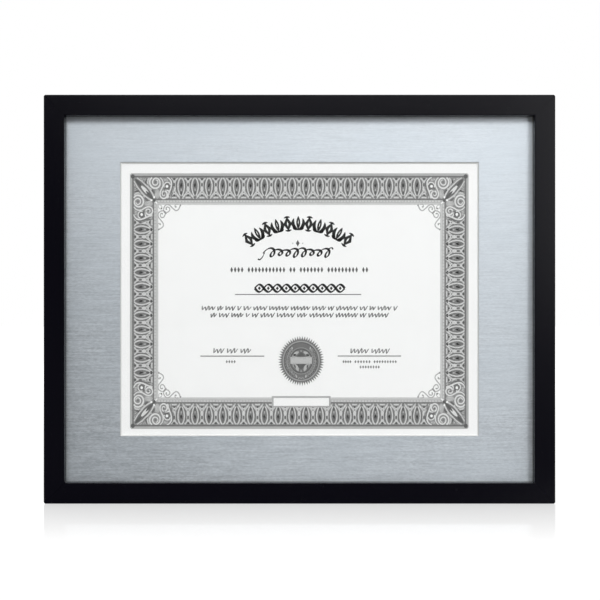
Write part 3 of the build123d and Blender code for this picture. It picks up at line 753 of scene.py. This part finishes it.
def border_lines(sheet):
    """The border's ground, its plain lines and the row of small dashes."""
    for ink, layer, outside, inside in (
            ("soft", 0, 0.0, 2.5), ("dark", 1, 2.4, 3.9), ("middle", 0, 3.9, 24.4),
            ("dark", 1, 24.2, 25.4), ("soft", 0, 25.4, 27.9), ("pale", 0, 27.9, 30.0)):
        sheet.add(ink, layer, frame_band(outside, inside))
    dashes = side_maps(*(np.arange(-reach, reach + 0.1, pitch) for reach, pitch in DASHES))
    sheet.add("shine", 1, bar(-1.15, 25.9, 1.15, 27.3), dashes)


def figure_maps(settings, extra):
    """Maps for figures at an even pitch about each side's middle: as many as set, and so many extra."""
    counts = settings.long_figures + extra, settings.short_figures + extra
    along_x, along_y = ((np.arange(count) - (count - 1) / 2) * pitch
                        for count, pitch in zip(counts, FIGURE_PITCHES))
    return side_maps(along_x + FIGURE_SHIFT, along_y)


def border_figures(sheet):
    """Pointed ovals between hourglass figures, which repeat along each side."""
    ovals, waists = figure_maps(sheet.settings, 0), figure_maps(sheet.settings, 1)
    t = np.linspace(0.0, 1.0, 17)
    swell = (4 * t * (1 - t)) ** 0.7 * (1 - 0.3 * (t - 0.42))
    sheet.put(
        ovals,
        ("body", 2, upright(0, 4.9 + 15.6 * t, 4.9 * swell + 0.15)),
        ("dark", 3, leaf((-0.2, 5.2), (-0.1, 14.2), 1.2)),
        ("middle", 3, leaf((1.1, 8.6), (0.7, 15.4), 0.5, 0.08)),
        ("middle", 3, leaf((-1.2, 9.6), (-0.8, 14.6), 0.35, -0.08)),
        ("soft", 3, spot(0.1, 15.9, 0.65, 1.3)),
        ("deep", 3, leaf((0, 16.8), (0, 21.0), 1.0)),
        ("middle", 3, spot(0, 22.4, 1.6, 1.3)))
    rim = np.stack([3.15 * swell + 0.3, 4.5 + 17.2 * t], 1)
    edge = np.stack([4.7 * swell + 0.35, 4.3 + 17.4 * t], 1)[2:15]
    sheet.put(both_sides(ovals), ("band", 2, stroke(rim, 1.45 - 0.3 * t)), ("dark", 1, stroke(edge, 1.25)))
    sheet.put(
        both_sides(waists),
        ("band", 3, pen(1.25, (3.6, 4.7), (2.2, 5.8), (1.0, 7.2))),
        ("band", 3, pen((1.0, 2.0), (0.9, 17.0), (2.5, 19.4), (4.2, 21.5), (6.4, 23.6))),
        ("dark", 2, pen(0.7, (1.9, 7.6), (2.4, 11.0), (1.9, 15.6))),
        ("shine", 2, pen(0.5, (1.1, 8.6), (1.5, 11.0), (1.1, 13.2))))
    sheet.put(
        waists,
        ("deep", 4, spot(0, 5.5, 1.3, 1.15)),
        ("band", 3, spot(0, 7.9, 1.75, 1.25)),
        ("dark", 4, spot(0, 11.1, 0.8, 1.6)),
        ("band", 3, leaf((0, 12.0), (0, 17.8), 1.7, fullness=0.6)),
        ("band", 3, lozenge(0, 19.8, 2.6, 2.5, 0.9)),
        ("dark", 4, spot(0, 18.0, 0.75, 0.55)),
        ("deep", 4, spot(0, 20.9, 1.3, 1.05)),
        ("band", 4, pen(1.35, (-2.6, 23.3), (0, 23.1), (2.6, 23.3))))


def corner_leaf(sheet):
    """The corner's pointed leaf on the diagonal, with a knob at its tip."""
    sheet.put(
        corner_maps()[::2],
        ("white", 4, stroke([(-1.4, 1.8), (1.8, -1.4)], 1.5)),
        ("deep", 5, spot(3.0, 3.0, 2.1, 2.1)),
        ("dark", 2, leaf((5.0, 5.0), (25.0, 25.0), 3.3, fullness=0.7, steps=17)),
        ("light", 3, leaf((11.2, 11.2), (21.2, 21.2), 1.7, fullness=0.7)),
        ("deep", 4, leaf((16.6, 16.6), (25.0, 25.0), 1.25, fullness=0.7)),
        ("deep", 3, leaf((5.6, 5.6), (12.4, 12.4), 1.5)),
        ("deep", 5, spot(25.9, 25.9, 1.4, 1.4)),
        ("white", 5, stroke([(27.0, 27.0), (28.8, 28.8)], 1.3)))


def corner_scrolls(sheet):
    """The rim beside the corner's leaf, then two scrolls and a sweep within the band."""
    sweep = bend((39.2, 4.0), (41.6, 5.1), (43.6, 7.6), (43.9, 10.6), (43.4, 13.6), (42.2, 16.6),
                 (41.0, 19.7), (39.4, 23.8), steps=9)
    sheet.put(
        corner_maps(),
        ("shine", 4, pen(
            (1.0, 1.2, 1.3, 1.6), (7.4, 4.3), (12.4, 7.5), (16.6, 11.2), (20.7, 15.0), (23.5, 18.8),
            (25.6, 22.8), steps=9)),
        ("white", 5, spot(25.6, 22.7, 0.95, 1.15)),
        ("pale", 2, pen(0.6, (10.6, 4.4), (15.8, 7.6), (20.4, 12.4), (24.2, 17.0))),
        ("dark", 3, pen(0.55, (12.4, 5.0), (17.6, 9.6), (21.8, 14.2))),
        ("dark", 2, leaf((22.6, 15.2), (26.6, 19.8), 1.25)),
        ("soft", 2, spot(28.9, 19.6, 2.7, 4.6)),
        ("dark", 3, leaf((17.6, 4.4), (16.8, 9.8), 0.8)),
        ("light", 4, pen(
            (1.5, 1.7, 1.5, 1.3, 1.2, 0.8), (23.4, 4.1), (21.5, 5.9), (20.9, 8.7), (21.8, 11.4),
            (24.0, 13.5), (27.1, 14.3), (30.1, 13.2), (31.7, 10.8), (31.6, 7.8), (30.1, 5.5), (27.7, 4.6),
            (25.4, 5.4), (24.1, 7.5), (24.3, 9.9), (26.1, 11.2), (28.4, 10.7), (29.6, 8.9), (29.1, 7.0),
            (27.4, 6.2), steps=7)),
        ("dark", 5, spot(26.9, 8.4, 0.8, 0.8)),
        ("pale", 3, pen(
            (1.2, 1.9, 1.6, 0.6), (20.6, 4.4), (18.9, 6.8), (18.7, 9.9), (20.4, 13.4), (23.0, 15.6))),
        ("light", 4, pen(
            (0.9, 1.3, 1.3, 1.6, 1.3, 0.7), (31.8, 4.1), (34.1, 6.2), (35.1, 9.0), (34.8, 12.3),
            (33.4, 15.0), (32.2, 17.8), (31.9, 20.6), (33.1, 23.0), (35.5, 24.0), (38.0, 23.2), (39.3, 21.1),
            (39.0, 18.6), (37.2, 16.9), (35.2, 17.1), (34.1, 18.8), (34.6, 20.8), (36.2, 21.3), (37.1, 20.0),
            steps=7)),
        ("deep", 5, spot(35.7, 19.6, 0.6, 0.6)),
        ("light", 4, pen((0.8, 1.5), (36.0, 16.6), (38.8, 15.9), (42.2, 17.4))),
        ("dark", 3, ring((39.0, 12.2), 0.05, 4.0, 24)),
        ("light", 4, pen(1.1, (36.1, 13.4), (36.2, 10.8), (38.4, 8.8), (41.2, 8.9), (42.8, 11.0))),
        ("white", 5, spot(39.2, 12.4, 1.45, 1.35)),
        ("dark", 4, leaf((35.4, 14.9), (41.6, 14.9), 0.8)),
        ("light", 5, stroke(sweep, (1.0, 1.5, 1.4, 1.2))),
        ("dark", 4, stroke(sweep + [1.7, 0.3], (0.6, 1.2, 1.2, 0.7))),
        ("pale", 3, stroke(sweep[12:] + [3.1, 0.0], 0.6)))
    for k in range(3):
        sheet.put(
            corner_maps(),
            ("pale", 3, leaf((12.6 + 1.7 * k, 4.6), (13.6 + 1.6 * k, 7.6 + 1.2 * k), 0.45, -0.05)),
            ("pale", 3, leaf((26.4 + 1.5 * k, 23.0), (26.4 + 1.3 * k, 18.6 - 1.1 * k), 0.4, 0.1)),
            ("pale", 3, leaf((35.6 + 1.5 * k, 4.6), (36.9 + 1.4 * k, 7.6), 0.4)))


def corner_flourish(sheet):
    """The fine flourish inside the border: a strand and a loop to each side of the diagonal."""
    sheet.put(
        corner_maps(),
        ("soft", 1, pen(
            1.15, (35.6, 34.6), (36.0, 32.7), (37.5, 30.5), (39.7, 29.7), (42.0, 30.4), (44.2, 32.3),
            (46.8, 34.5), (48.8, 35.5), (50.8, 34.8), (52.2, 33.0), (53.2, 30.7), steps=9)),
        ("soft", 1, pen(
            1.1, (38.0, 37.6), (40.6, 36.6), (42.1, 34.8), (41.7, 32.9), (39.9, 32.0), (38.4, 32.7),
            (38.1, 34.1), steps=9)),
        ("thin", 1, spot(38.5, 34.2, 0.7, 0.75)),
        ("soft", 2, pen(0.9, (51.2, 29.7), (49.3, 29.4), (47.8, 30.3), (47.7, 31.8), (48.8, 32.5), steps=9)),
        ("soft", 2, spot(48.7, 31.9, 0.75, 0.8)),
        ("thin", 2, spot(53.4, 30.5, 0.85, 0.95)),
        ("pale", 1, pen(0.9, (29.6, 29.9), (32.0, 30.2), (33.6, 31.4), (34.0, 33.0))))
    sheet.put(
        corner_maps()[::2],
        ("thin", 2, pen((0.9, 1.9, 1.0), (34.9, 34.9), (36.7, 36.7), (38.6, 38.6))),
        ("dark", 2, spot(33.3, 33.4, 0.85, 0.85)))


def swing(centre, radius, degrees):
    """The map of a shape drawn round the origin to its place on an arch, upright to the arch."""
    a = math.radians(degrees)
    return [[math.cos(a), -math.sin(a), centre[0] + radius * math.sin(a)],
            [math.sin(a), math.cos(a), centre[1] - radius * math.cos(a)]]


def title_arch(sheet):
    """Eleven bold printers' ornaments along an arch, cut lozenges and palmettes, over a small ornament."""
    centre, radius, reach, count = (-1.0, 4.0), 82.0, 37.2, 11
    places = np.array([swing(centre, radius, angle) for angle in np.linspace(-reach, reach, count)])
    cut, palm = places[::2], places[1::2]
    sheet.put(
        cut,
        ("black", 1, lozenge(0, 0, 4.3, 7.0, 0.95)),
        ("white", 2, lozenge(0, 0, 0.8, 2.6)),
        ("black", 1, leaf((-3.3, -6.2), (3.3, -6.2), 1.05, -0.1)),
        ("black", 1, leaf((-3.3, 6.2), (3.3, 6.2), 1.05, 0.1)))
    sheet.put(
        palm,
        ("black", 1, leaf((0, 6.4), (0, -7.4), 2.0)),
        ("white", 2, leaf((0, 1.4), (0, -3.4), 0.3)),
        ("black", 1, bar(-3.4, 5.2, 3.4, 6.9)))
    sheet.put(
        both_sides(palm),
        ("black", 1, leaf((0.5, 6.0), (4.3, -5.2), 1.75, 0.24)),
        ("black", 1, leaf((0.6, 6.0), (4.7, 1.6), 1.35, 0.3)))
    x, y, apart = -1.5, -58.0, 5.0
    sheet.add("middle", 1, spot(0, 0, 0.55, 0.55), at([(x - apart, y), (x + apart, y)]))
    sheet.add("deep", 1, lozenge(x, y, 1.9, 3.4, 1.2))


def penwork(sheet):
    """A line of slanted pen loops between two swashes: a point goes round a circle while it moves along."""
    loops, left, length, middle = 8, -32.2, 63.0, -48.6
    rise, width, slant = 4.6, 3.4, 0.42
    t = np.linspace(-0.03, loops + 0.03, 300)
    swell = 0.78 + 0.22 * np.cos(2 * np.pi * t / loops * 2)
    y = -rise * np.sin(2 * np.pi * t) * swell
    x = left + length * t / loops - width * np.cos(2 * np.pi * t) - slant * y
    path = np.stack([x, y + middle], 1)
    sheet.add("black", 1, stroke(path, nib(path, math.radians(35), 0.75, 1.75)))
    for widths, *points in (((1.5, 0.6), (-41.5, -42.2), (-39.6, -41.6), (-37.0, -44.0), (-34.6, -48.5)),
                            ((0.6, 1.6), (27.8, -48.8), (30.0, -52.6), (32.8, -53.4), (33.6, -51.8))):
        sheet.add("black", 1, pen(widths, *points, steps=15))


def bead_line(sheet, ink, y, groups, half_height, pitch):
    """Groups of slim lozenges in place of a line of capitals."""
    for left, right in groups:
        along = np.linspace(left + pitch / 2, right - pitch / 2, max(round((right - left) / pitch), 1))
        sheet.add(ink, 1, lozenge(0, 0, pitch * 0.36, half_height, 0.85), at([(x, y) for x in along]))


def wave_line(sheet, ink, y, groups, rise):
    """Groups of even slanted waves in place of a line of running words."""
    pitch = 3.3
    for left, right in groups:
        waves = max(round((right - left) / pitch), 1)
        t = np.linspace(0, waves, waves * 10 + 1)
        lift = -rise * np.cos(2 * np.pi * t) * (1 + 0.3 * np.sin(2.4 * np.floor(t + 0.5) + left))
        path = np.stack([left + (right - left) * t / waves - 0.3 * lift, y + lift], 1)
        sheet.add(ink, 1, stroke(path, nib(path, 0.5, 0.55, 0.6)))


def word_groups(left, right, lengths, space):
    """Divides a line into groups of the given relative lengths with equal spaces."""
    lengths = np.array(lengths, float)
    scale = (right - left - space * (len(lengths) - 1)) / lengths.sum()
    ends = np.cumsum(lengths * scale + space) - space + left
    return list(zip(ends - lengths * scale, ends))


def plait(sheet, left, right, y, rise, crossings, width):
    """Two strands that swing past each other as opposite sine waves, with a lozenge in each eye."""
    t = np.linspace(0, crossings, crossings * 14 + 1)
    for side in (-1, 1):
        path = np.stack([left + (right - left) * t / crossings, y + side * rise * np.sin(np.pi * t)], 1)
        sheet.add("black", 1, stroke(path, width * nib(path, 0.6, 0.6, 0.7)))
    eyes = left + (right - left) * (np.arange(crossings) + 0.5) / crossings
    sheet.add("black", 1, lozenge(0, 0, 1.5, rise * 0.55, 1.1), at([(x, y) for x in eyes]))


def written_lines(sheet):
    """Ornamental lines where a certificate carries its words, and its ruled lines."""
    plait(sheet, -44.5, 45.5, -12.9, 3.7, 10, 1.9)
    for ink, y, groups, rise in (
            ("deep", 7.1, word_groups(-98, 98, (7, 3, 5, 2, 4, 7, 10, 10, 7, 3, 11, 4, 3, 7, 2), 2.2), 1.75),
            ("deep", 14.1, word_groups(-89, 89, (3, 5, 6, 2, 3, 7, 9, 5, 12, 11, 3, 10), 2.4), 1.75),
            ("dark", 49.8, word_groups(-86.3, -48.6, (4, 4, 4), 3.0), 2.0),
            ("dark", 50.0, word_groups(51.0, 90.0, (6, 6), 3.0), 2.0)):
        wave_line(sheet, ink, y, groups, rise)
    for ink, y, groups, half_height, pitch in (
            ("deep", -31.4, word_groups(-69.5, 69.5, (4, 11, 2, 7, 9, 2), 3.2), 2.9, 3.6),
            ("dark", 60.7, [(-74.0, -63.4)], 1.6, 2.7),
            ("dark", 60.7, word_groups(43.0, 98.0, (4, 7, 10), 2.4), 1.6, 2.7),
            ("dark", 66.0, [(60.0, 81.0)], 1.6, 2.7)):
        bead_line(sheet, ink, y, groups, half_height, pitch)
    for rule in ((-64.3, -7.1, 62.0, -6.2), (-99.0, 54.6, -35.0, 55.6), (38.5, 54.5, 102.0, 55.5)):
        sheet.add("dark", 1, bar(*rule))


def seal(sheet):
    """The serrated seal: a toothed disc, rings, two laurel sprays, and a blank ribbon over eight leaves."""
    middle, tall = (1.9, 59.9), 1.085
    teeth, root, depth = 56, 19.4, 3.7
    saw = np.tile([0.0, 1.0], teeth) * depth + root
    sheet.add("dark", 1, ring(middle, 0.05, saw, 2 * teeth, tall))
    for ink, inner, outer in (
            ("seal", 17.4, 18.6), ("deep", 16.6, 17.4), ("middle", 11.6, 12.5), ("deep", 10.6, 11.6)):
        sheet.add(ink, 2, ring(middle, inner, outer, 64, tall))
    # Sprigs round one side and, mirrored, round the other, stretched with the seal and moved to its middle
    sprigs = np.array([swing((0, 0), 14.6, angle) for angle in np.linspace(42, 158, 13)])
    sprigs = np.concatenate([sprigs * [[-1], [1]], sprigs]) * [[1], [tall]]
    sheet.put(
        sprigs + at([middle]) * [0, 0, 1],
        ("pale_seal", 3, leaf((-0.2, 1.0), (1.9, -1.6), 0.8)),
        ("pale_seal", 3, leaf((-0.2, 1.0), (-1.9, -1.4), 0.75)),
        ("seal", 3, spot(0, 1.0, 0.5, 0.9)))
    here = at([middle])
    sheet.put(
        both_sides(here),
        ("pale_seal", 3, leaf((2.2, -9.2), (7.4, -4.8), 1.5, -0.1, 0.6)),
        ("seal", 3, leaf((5.0, -6.6), (9.4, -3.6), 1.2, 0, 0.6)),
        ("pale_seal", 3, leaf((7.0, 3.0), (2.9, 10.4), 1.6, 0.05, 0.6)),
        ("seal", 3, leaf((8.6, 2.6), (5.6, 7.2), 1.1, 0, 0.6)),
        ("seal", 3, pen(0.8, (0, 18.0), (1.6, 16.7), (3.1, 18.3))))
    sheet.put(
        here,
        ("deep", 4, stroke([(0, -8.9), (0, -4.4)], (0.6, 8.4))),
        ("deep", 4, stroke([(0, 3.0), (0, 8.0)], (9.6, 1.6))),
        ("seal", 4, lozenge(0, 10.2, 1.0, 1.3)),
        ("seal", 4, spot(0, -9.9, 0.8, 0.7)),
        ("ribbon", 5, bar(-10.8, -4.0, 10.8, 3.0)),
        ("seal", 6, bar(-10.2, -3.4, 10.2, -3.1)),
        ("seal", 6, bar(-10.2, 2.1, 10.2, 2.4)))


def number_plate(sheet):
    """The blank plate over the lower band: a white field in a double line."""
    sheet.add("soft", 6, bar(-27.6, 95.1, 31.4, 106.5))
    sheet.add("thin", 7, bar(-26.2, 96.5, 30.2, 105.3))
    sheet.add("white", 8, bar(-25.8, 96.9, 29.8, 105.0))


class FRAME_OT_print(bpy.types.Operator):
    """Prints the certificate's border, ornaments, lines and seal"""
    bl_idname = "frame.print"
    bl_label = "Certificate print"

    def execute(self, context):
        levels = {"black": 22, "deep": 90, "dark": 112, "body": 124, "middle": 142, "thin": 152,
                  "soft": 176, "pale": 200, "shine": 206, "band": 208, "light": 222, "white": 248,
                  "seal": 158, "pale_seal": 182, "ribbon": 190}
        inks = {name: ink_finish("ink_" + name, level) for name, level in levels.items()}
        for name, *parts in (
                ("print_border", border_lines, border_figures),
                ("print_corners", corner_leaf, corner_scrolls, corner_flourish),
                ("print_ornaments", title_arch, penwork, written_lines),
                ("print_seal", seal, number_plate)):
            sheet = Print(inks, context.scene.frame_print)
            for draw in parts:
                draw(sheet)
            sheet.lay(name)
        return {"FINISHED"}


# Hardware on the back

def rivet_piece(name, places, body, replaced, finish_used, settings):
    """Domed rivets turned about the depth axis: a shank, and a head whose section is a quarter of an ellipse
    over a low brim. A place is x, the level of the seat, z and the depth of the shank, in millimetres."""
    sides, brim = 28, 0.18
    head, rise, shank = settings.rivet_radius, settings.rivet_height, settings.shank_radius
    a = np.radians(np.linspace(1, 90, 9))
    r = np.concatenate([head * np.sin(a), [head, shank, shank, shank * 0.05]])
    lift = np.concatenate([rise * (brim + (1 - brim) * np.cos(a)), [0, 0]])
    angle = np.arange(sides) / sides * 2 * np.pi
    points = []
    for x, seat, z, grip in np.array(places) * MM:
        y = np.concatenate([seat + lift, [seat - grip, seat - grip]])
        points.append(np.stack(np.broadcast_arrays(
            x + r[:, None] * np.cos(angle), y[:, None], z + r[:, None] * np.sin(angle)), -1).reshape(-1, 3))
    lattice = lattice_faces(len(r), sides, close_columns=True)
    faces = np.concatenate([lattice + i * len(r) * sides for i in range(len(places))])
    points = np.concatenate(points)
    piece = surface_piece(name, points, faces, body, [finish_used], smooth=True)
    outwards(piece.data, 40)
    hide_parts(replaced)


class FRAME_OT_hardware(bpy.types.Operator):
    """Finishes the clips, rivets, hangers, hinge, leg and stay"""
    bl_idname = "frame.hardware"
    bl_label = "Easel and hardware"

    def execute(self, context):
        settings = context.scene.frame_hardware
        rolled = (60, 400, 1400)
        fine = 0.003 * MM
        zinc = plated_steel("zinc_steel", (0.54, 0.55, 0.57), (0.34, 0.355, 0.38), 0.42, rolled)
        nickel = plated_steel("nickel_steel", (0.57, 0.55, 0.52), (0.38, 0.365, 0.34), 0.38, rolled, fine)
        rivet = plated_steel("nickel_rivet", (0.66, 0.65, 0.63), (0.50, 0.49, 0.48), 0.30, (300,) * 3, fine)
        dress([f"turn_clip_{i}" for i in range(1, 7)] + ["hanger_landscape", "hanger_portrait"], zinc)
        dress(["hinge_board_leaf", "hinge_leg_leaf", "hinge_pin"], nickel)
        dress(["stay_bracket", "stay_pivot_pin", "stay_strut", "stay_slide_pin", "stay_track"], zinc)
        dress(["easel_leg"], black_paper("black_grained_paper"))
        # In millimetres: the gauge of what the rivets hold, their places, and how deep their shanks go
        board, leg, middle = BOARD_BACK / MM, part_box("easel_leg")[1].y / MM, MIDDLE_Z / MM
        clip_gauge, leaf_gauge = 1.0, 0.8
        clip_places = (105, middle - 131.5), (105, middle + 131.5), (169.6, middle)
        leaf_x, board_leaf_z, leg_leaf_z = 11, 236.5, 215.5
        clip_grip, board_grip, leg_grip = 4.0, 3.8, 4.8
        places = [(side * x, board + clip_gauge, z, clip_grip) for side in (-1, 1) for x, z in clip_places]
        places += [(side * leaf_x, board + leaf_gauge, board_leaf_z, board_grip) for side in (-1, 1)]
        rivet_piece("domed_rivets_board", places, "frame", "board_rivets", rivet, settings)
        places = [(side * leaf_x, leg + leaf_gauge, leg_leaf_z, leg_grip) for side in (-1, 1)]
        rivet_piece("domed_rivets_leg", places, "leg", "leg_rivets", rivet, settings)
        return {"FINISHED"}


# Stage

def white_world():
    """White for the camera; a dim room in front of the frame and a white one behind it for reflections; and
    a plain level for diffuse light."""
    world = bpy.data.worlds.new("white_room")
    world.use_nodes = True
    tree = world.node_tree
    camera, mirrored = rays(tree)
    x, y, z = position(tree, "Generated")
    room = span(x + z, -0.9, 1.1, 0.03, 0.16) + span(y, -0.25, 0.35, 0.0, 1.0, True)
    level = mirrored * sums("MINIMUM", room, 1.0) + (1 - mirrored) * 0.93
    ground = tree.nodes["Background"]
    drive(ground, Color=WHITE, Strength=larger(level, camera))
    bpy.context.scene.world = world


def white_floor(settings):
    """A white floor, glowing for the camera and in mirrors, which keeps its shadow. Its mirror fades with
    the distance from the frame, and three times as fast beside the frame."""
    reach, cuts = 6.0, 9
    x, y = np.meshgrid(np.linspace(-reach, reach, cuts), np.linspace(-reach, reach, cuts), indexing="ij")
    points = np.stack([x, y, np.full_like(x, -0.05 * MM)], -1).reshape(-1, 3)
    mesh = bpy.data.meshes.new("floor")
    mesh.from_pydata(points.tolist(), [], lattice_faces(cuts, cuts)[:, ::-1].tolist())
    floor = linked("floor", mesh)
    material, tree, _ = finish("white_floor")
    x, y, _ = position(tree)
    beside = abs(x) - FRAME_HALF
    away = larger(larger(FRONT_Y - y, y - BACK_Y), larger(beside, 0.0))
    fade = span(larger(away, beside * 3.0), 0.0, settings.mirror_fade)
    mirror = (1 - sums("POWER", fade, 1.25)) * 0.28
    camera, mirrored = rays(tree)
    shown = larger(camera, mirrored * span(y, FRONT_Y - 0.02, BACK_Y + 0.4, 0.06, 1.0, True))
    lit = span(away, 0.3, 1.4, 0.845, 1.0, True)
    glow = node(tree, "Emission", {"Color": WHITE, "Strength": lit * shown})[0]
    matt = node(tree, "BsdfDiffuse", {"Color": (0.17, 0.17, 0.17)})[0]
    shine = node(tree, "BsdfGlossy", {"Color": WHITE, "Roughness": 0.06})[0]
    show_mix(tree, mirror, node(tree, "AddShader", {0: glow, 1: matt})[0], shine)
    mesh.materials.append(material)


def area_lamp(name, place_at, size, power):
    """A rectangular lamp that faces the middle of the frame."""
    lamp = bpy.data.lights.new(name, "AREA")
    lamp.shape = "RECTANGLE"
    lamp.size, lamp.size_y = size
    lamp.energy = power
    holder = linked(name, lamp)
    holder.location = place_at
    way = Vector((0, 0, MIDDLE_Z)) - Vector(place_at)
    holder.rotation_euler = way.to_track_quat("-Z", "Y").to_euler()


class FRAME_OT_stage(bpy.types.Operator):
    """Sets the floor, the white room, the lamps and the camera"""
    bl_idname = "frame.stage"
    bl_label = "Stage"

    def execute(self, context):
        settings = context.scene.frame_stage
        white_floor(settings)
        white_world()
        area_lamp("key_lamp", (0.08, -1.3, 0.82), (1.0, 0.4), settings.key_power)
        area_lamp("side_lamp", (0.70, -1.5, 0.4), (0.36, 0.5), settings.side_power)
        area_lamp("back_lamp", (-0.45, 1.5, 1.1), (2.2, 1.8), settings.back_power)
        camera = bpy.data.cameras.new("camera")
        camera.sensor_width = 36
        camera.lens = camera.sensor_width * settings.camera_distance / settings.field_width
        camera.clip_start, camera.clip_end = 0.05, 50
        holder = linked("camera", camera)
        right, down = 0.38 * MM, 0.59 * MM
        holder.location = (right, FRONT_Y - settings.camera_distance, MIDDLE_Z - down)
        holder.rotation_euler = (math.pi / 2, 0, 0)
        context.scene.camera = holder
        context.scene.view_settings.view_transform = "Standard"
        return {"FINISHED"}


class FRAME_PT_pieces(bpy.types.Panel):
    """Lists the frame's operators and their sizes"""
    bl_label = "Certificate Frame"
    bl_idname = "FRAME_PT_pieces"
    bl_space_type = "VIEW_3D"
    bl_region_type = "UI"
    bl_category = "Frame"

    def draw(self, context):
        scene = context.scene
        for operator, group in (
                (FRAME_OT_rails, scene.frame_rails), (FRAME_OT_sheets, None),
                (FRAME_OT_print, scene.frame_print), (FRAME_OT_hardware, scene.frame_hardware),
                (FRAME_OT_stage, scene.frame_stage)):
            box = self.layout.box()
            box.operator(operator.bl_idname)
            for name in group.__annotations__ if group else ():
                box.prop(group, name)


SETTINGS = {"frame_rails": RailSettings, "frame_print": PrintSettings, "frame_hardware": HardwareSettings,
            "frame_stage": StageSettings}
CLASSES = (*SETTINGS.values(), FRAME_OT_rails, FRAME_OT_sheets, FRAME_OT_print, FRAME_OT_hardware,
           FRAME_OT_stage, FRAME_PT_pieces)


def register():
    """Registers the classes and gives the scene its settings."""
    for item in CLASSES:
        bpy.utils.register_class(item)
    for name, group in SETTINGS.items():
        setattr(bpy.types.Scene, name, PointerProperty(type=group))


def unregister():
    """Takes the settings and the classes away again."""
    for name in SETTINGS:
        delattr(bpy.types.Scene, name)
    for item in reversed(CLASSES):
        bpy.utils.unregister_class(item)


def main():
    """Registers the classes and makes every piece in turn."""
    register()
    bpy.ops.frame.rails()
    bpy.ops.frame.sheets()
    bpy.ops.frame.print()
    bpy.ops.frame.hardware()
    bpy.ops.frame.stage()


if __name__ == "__main__":
    main()
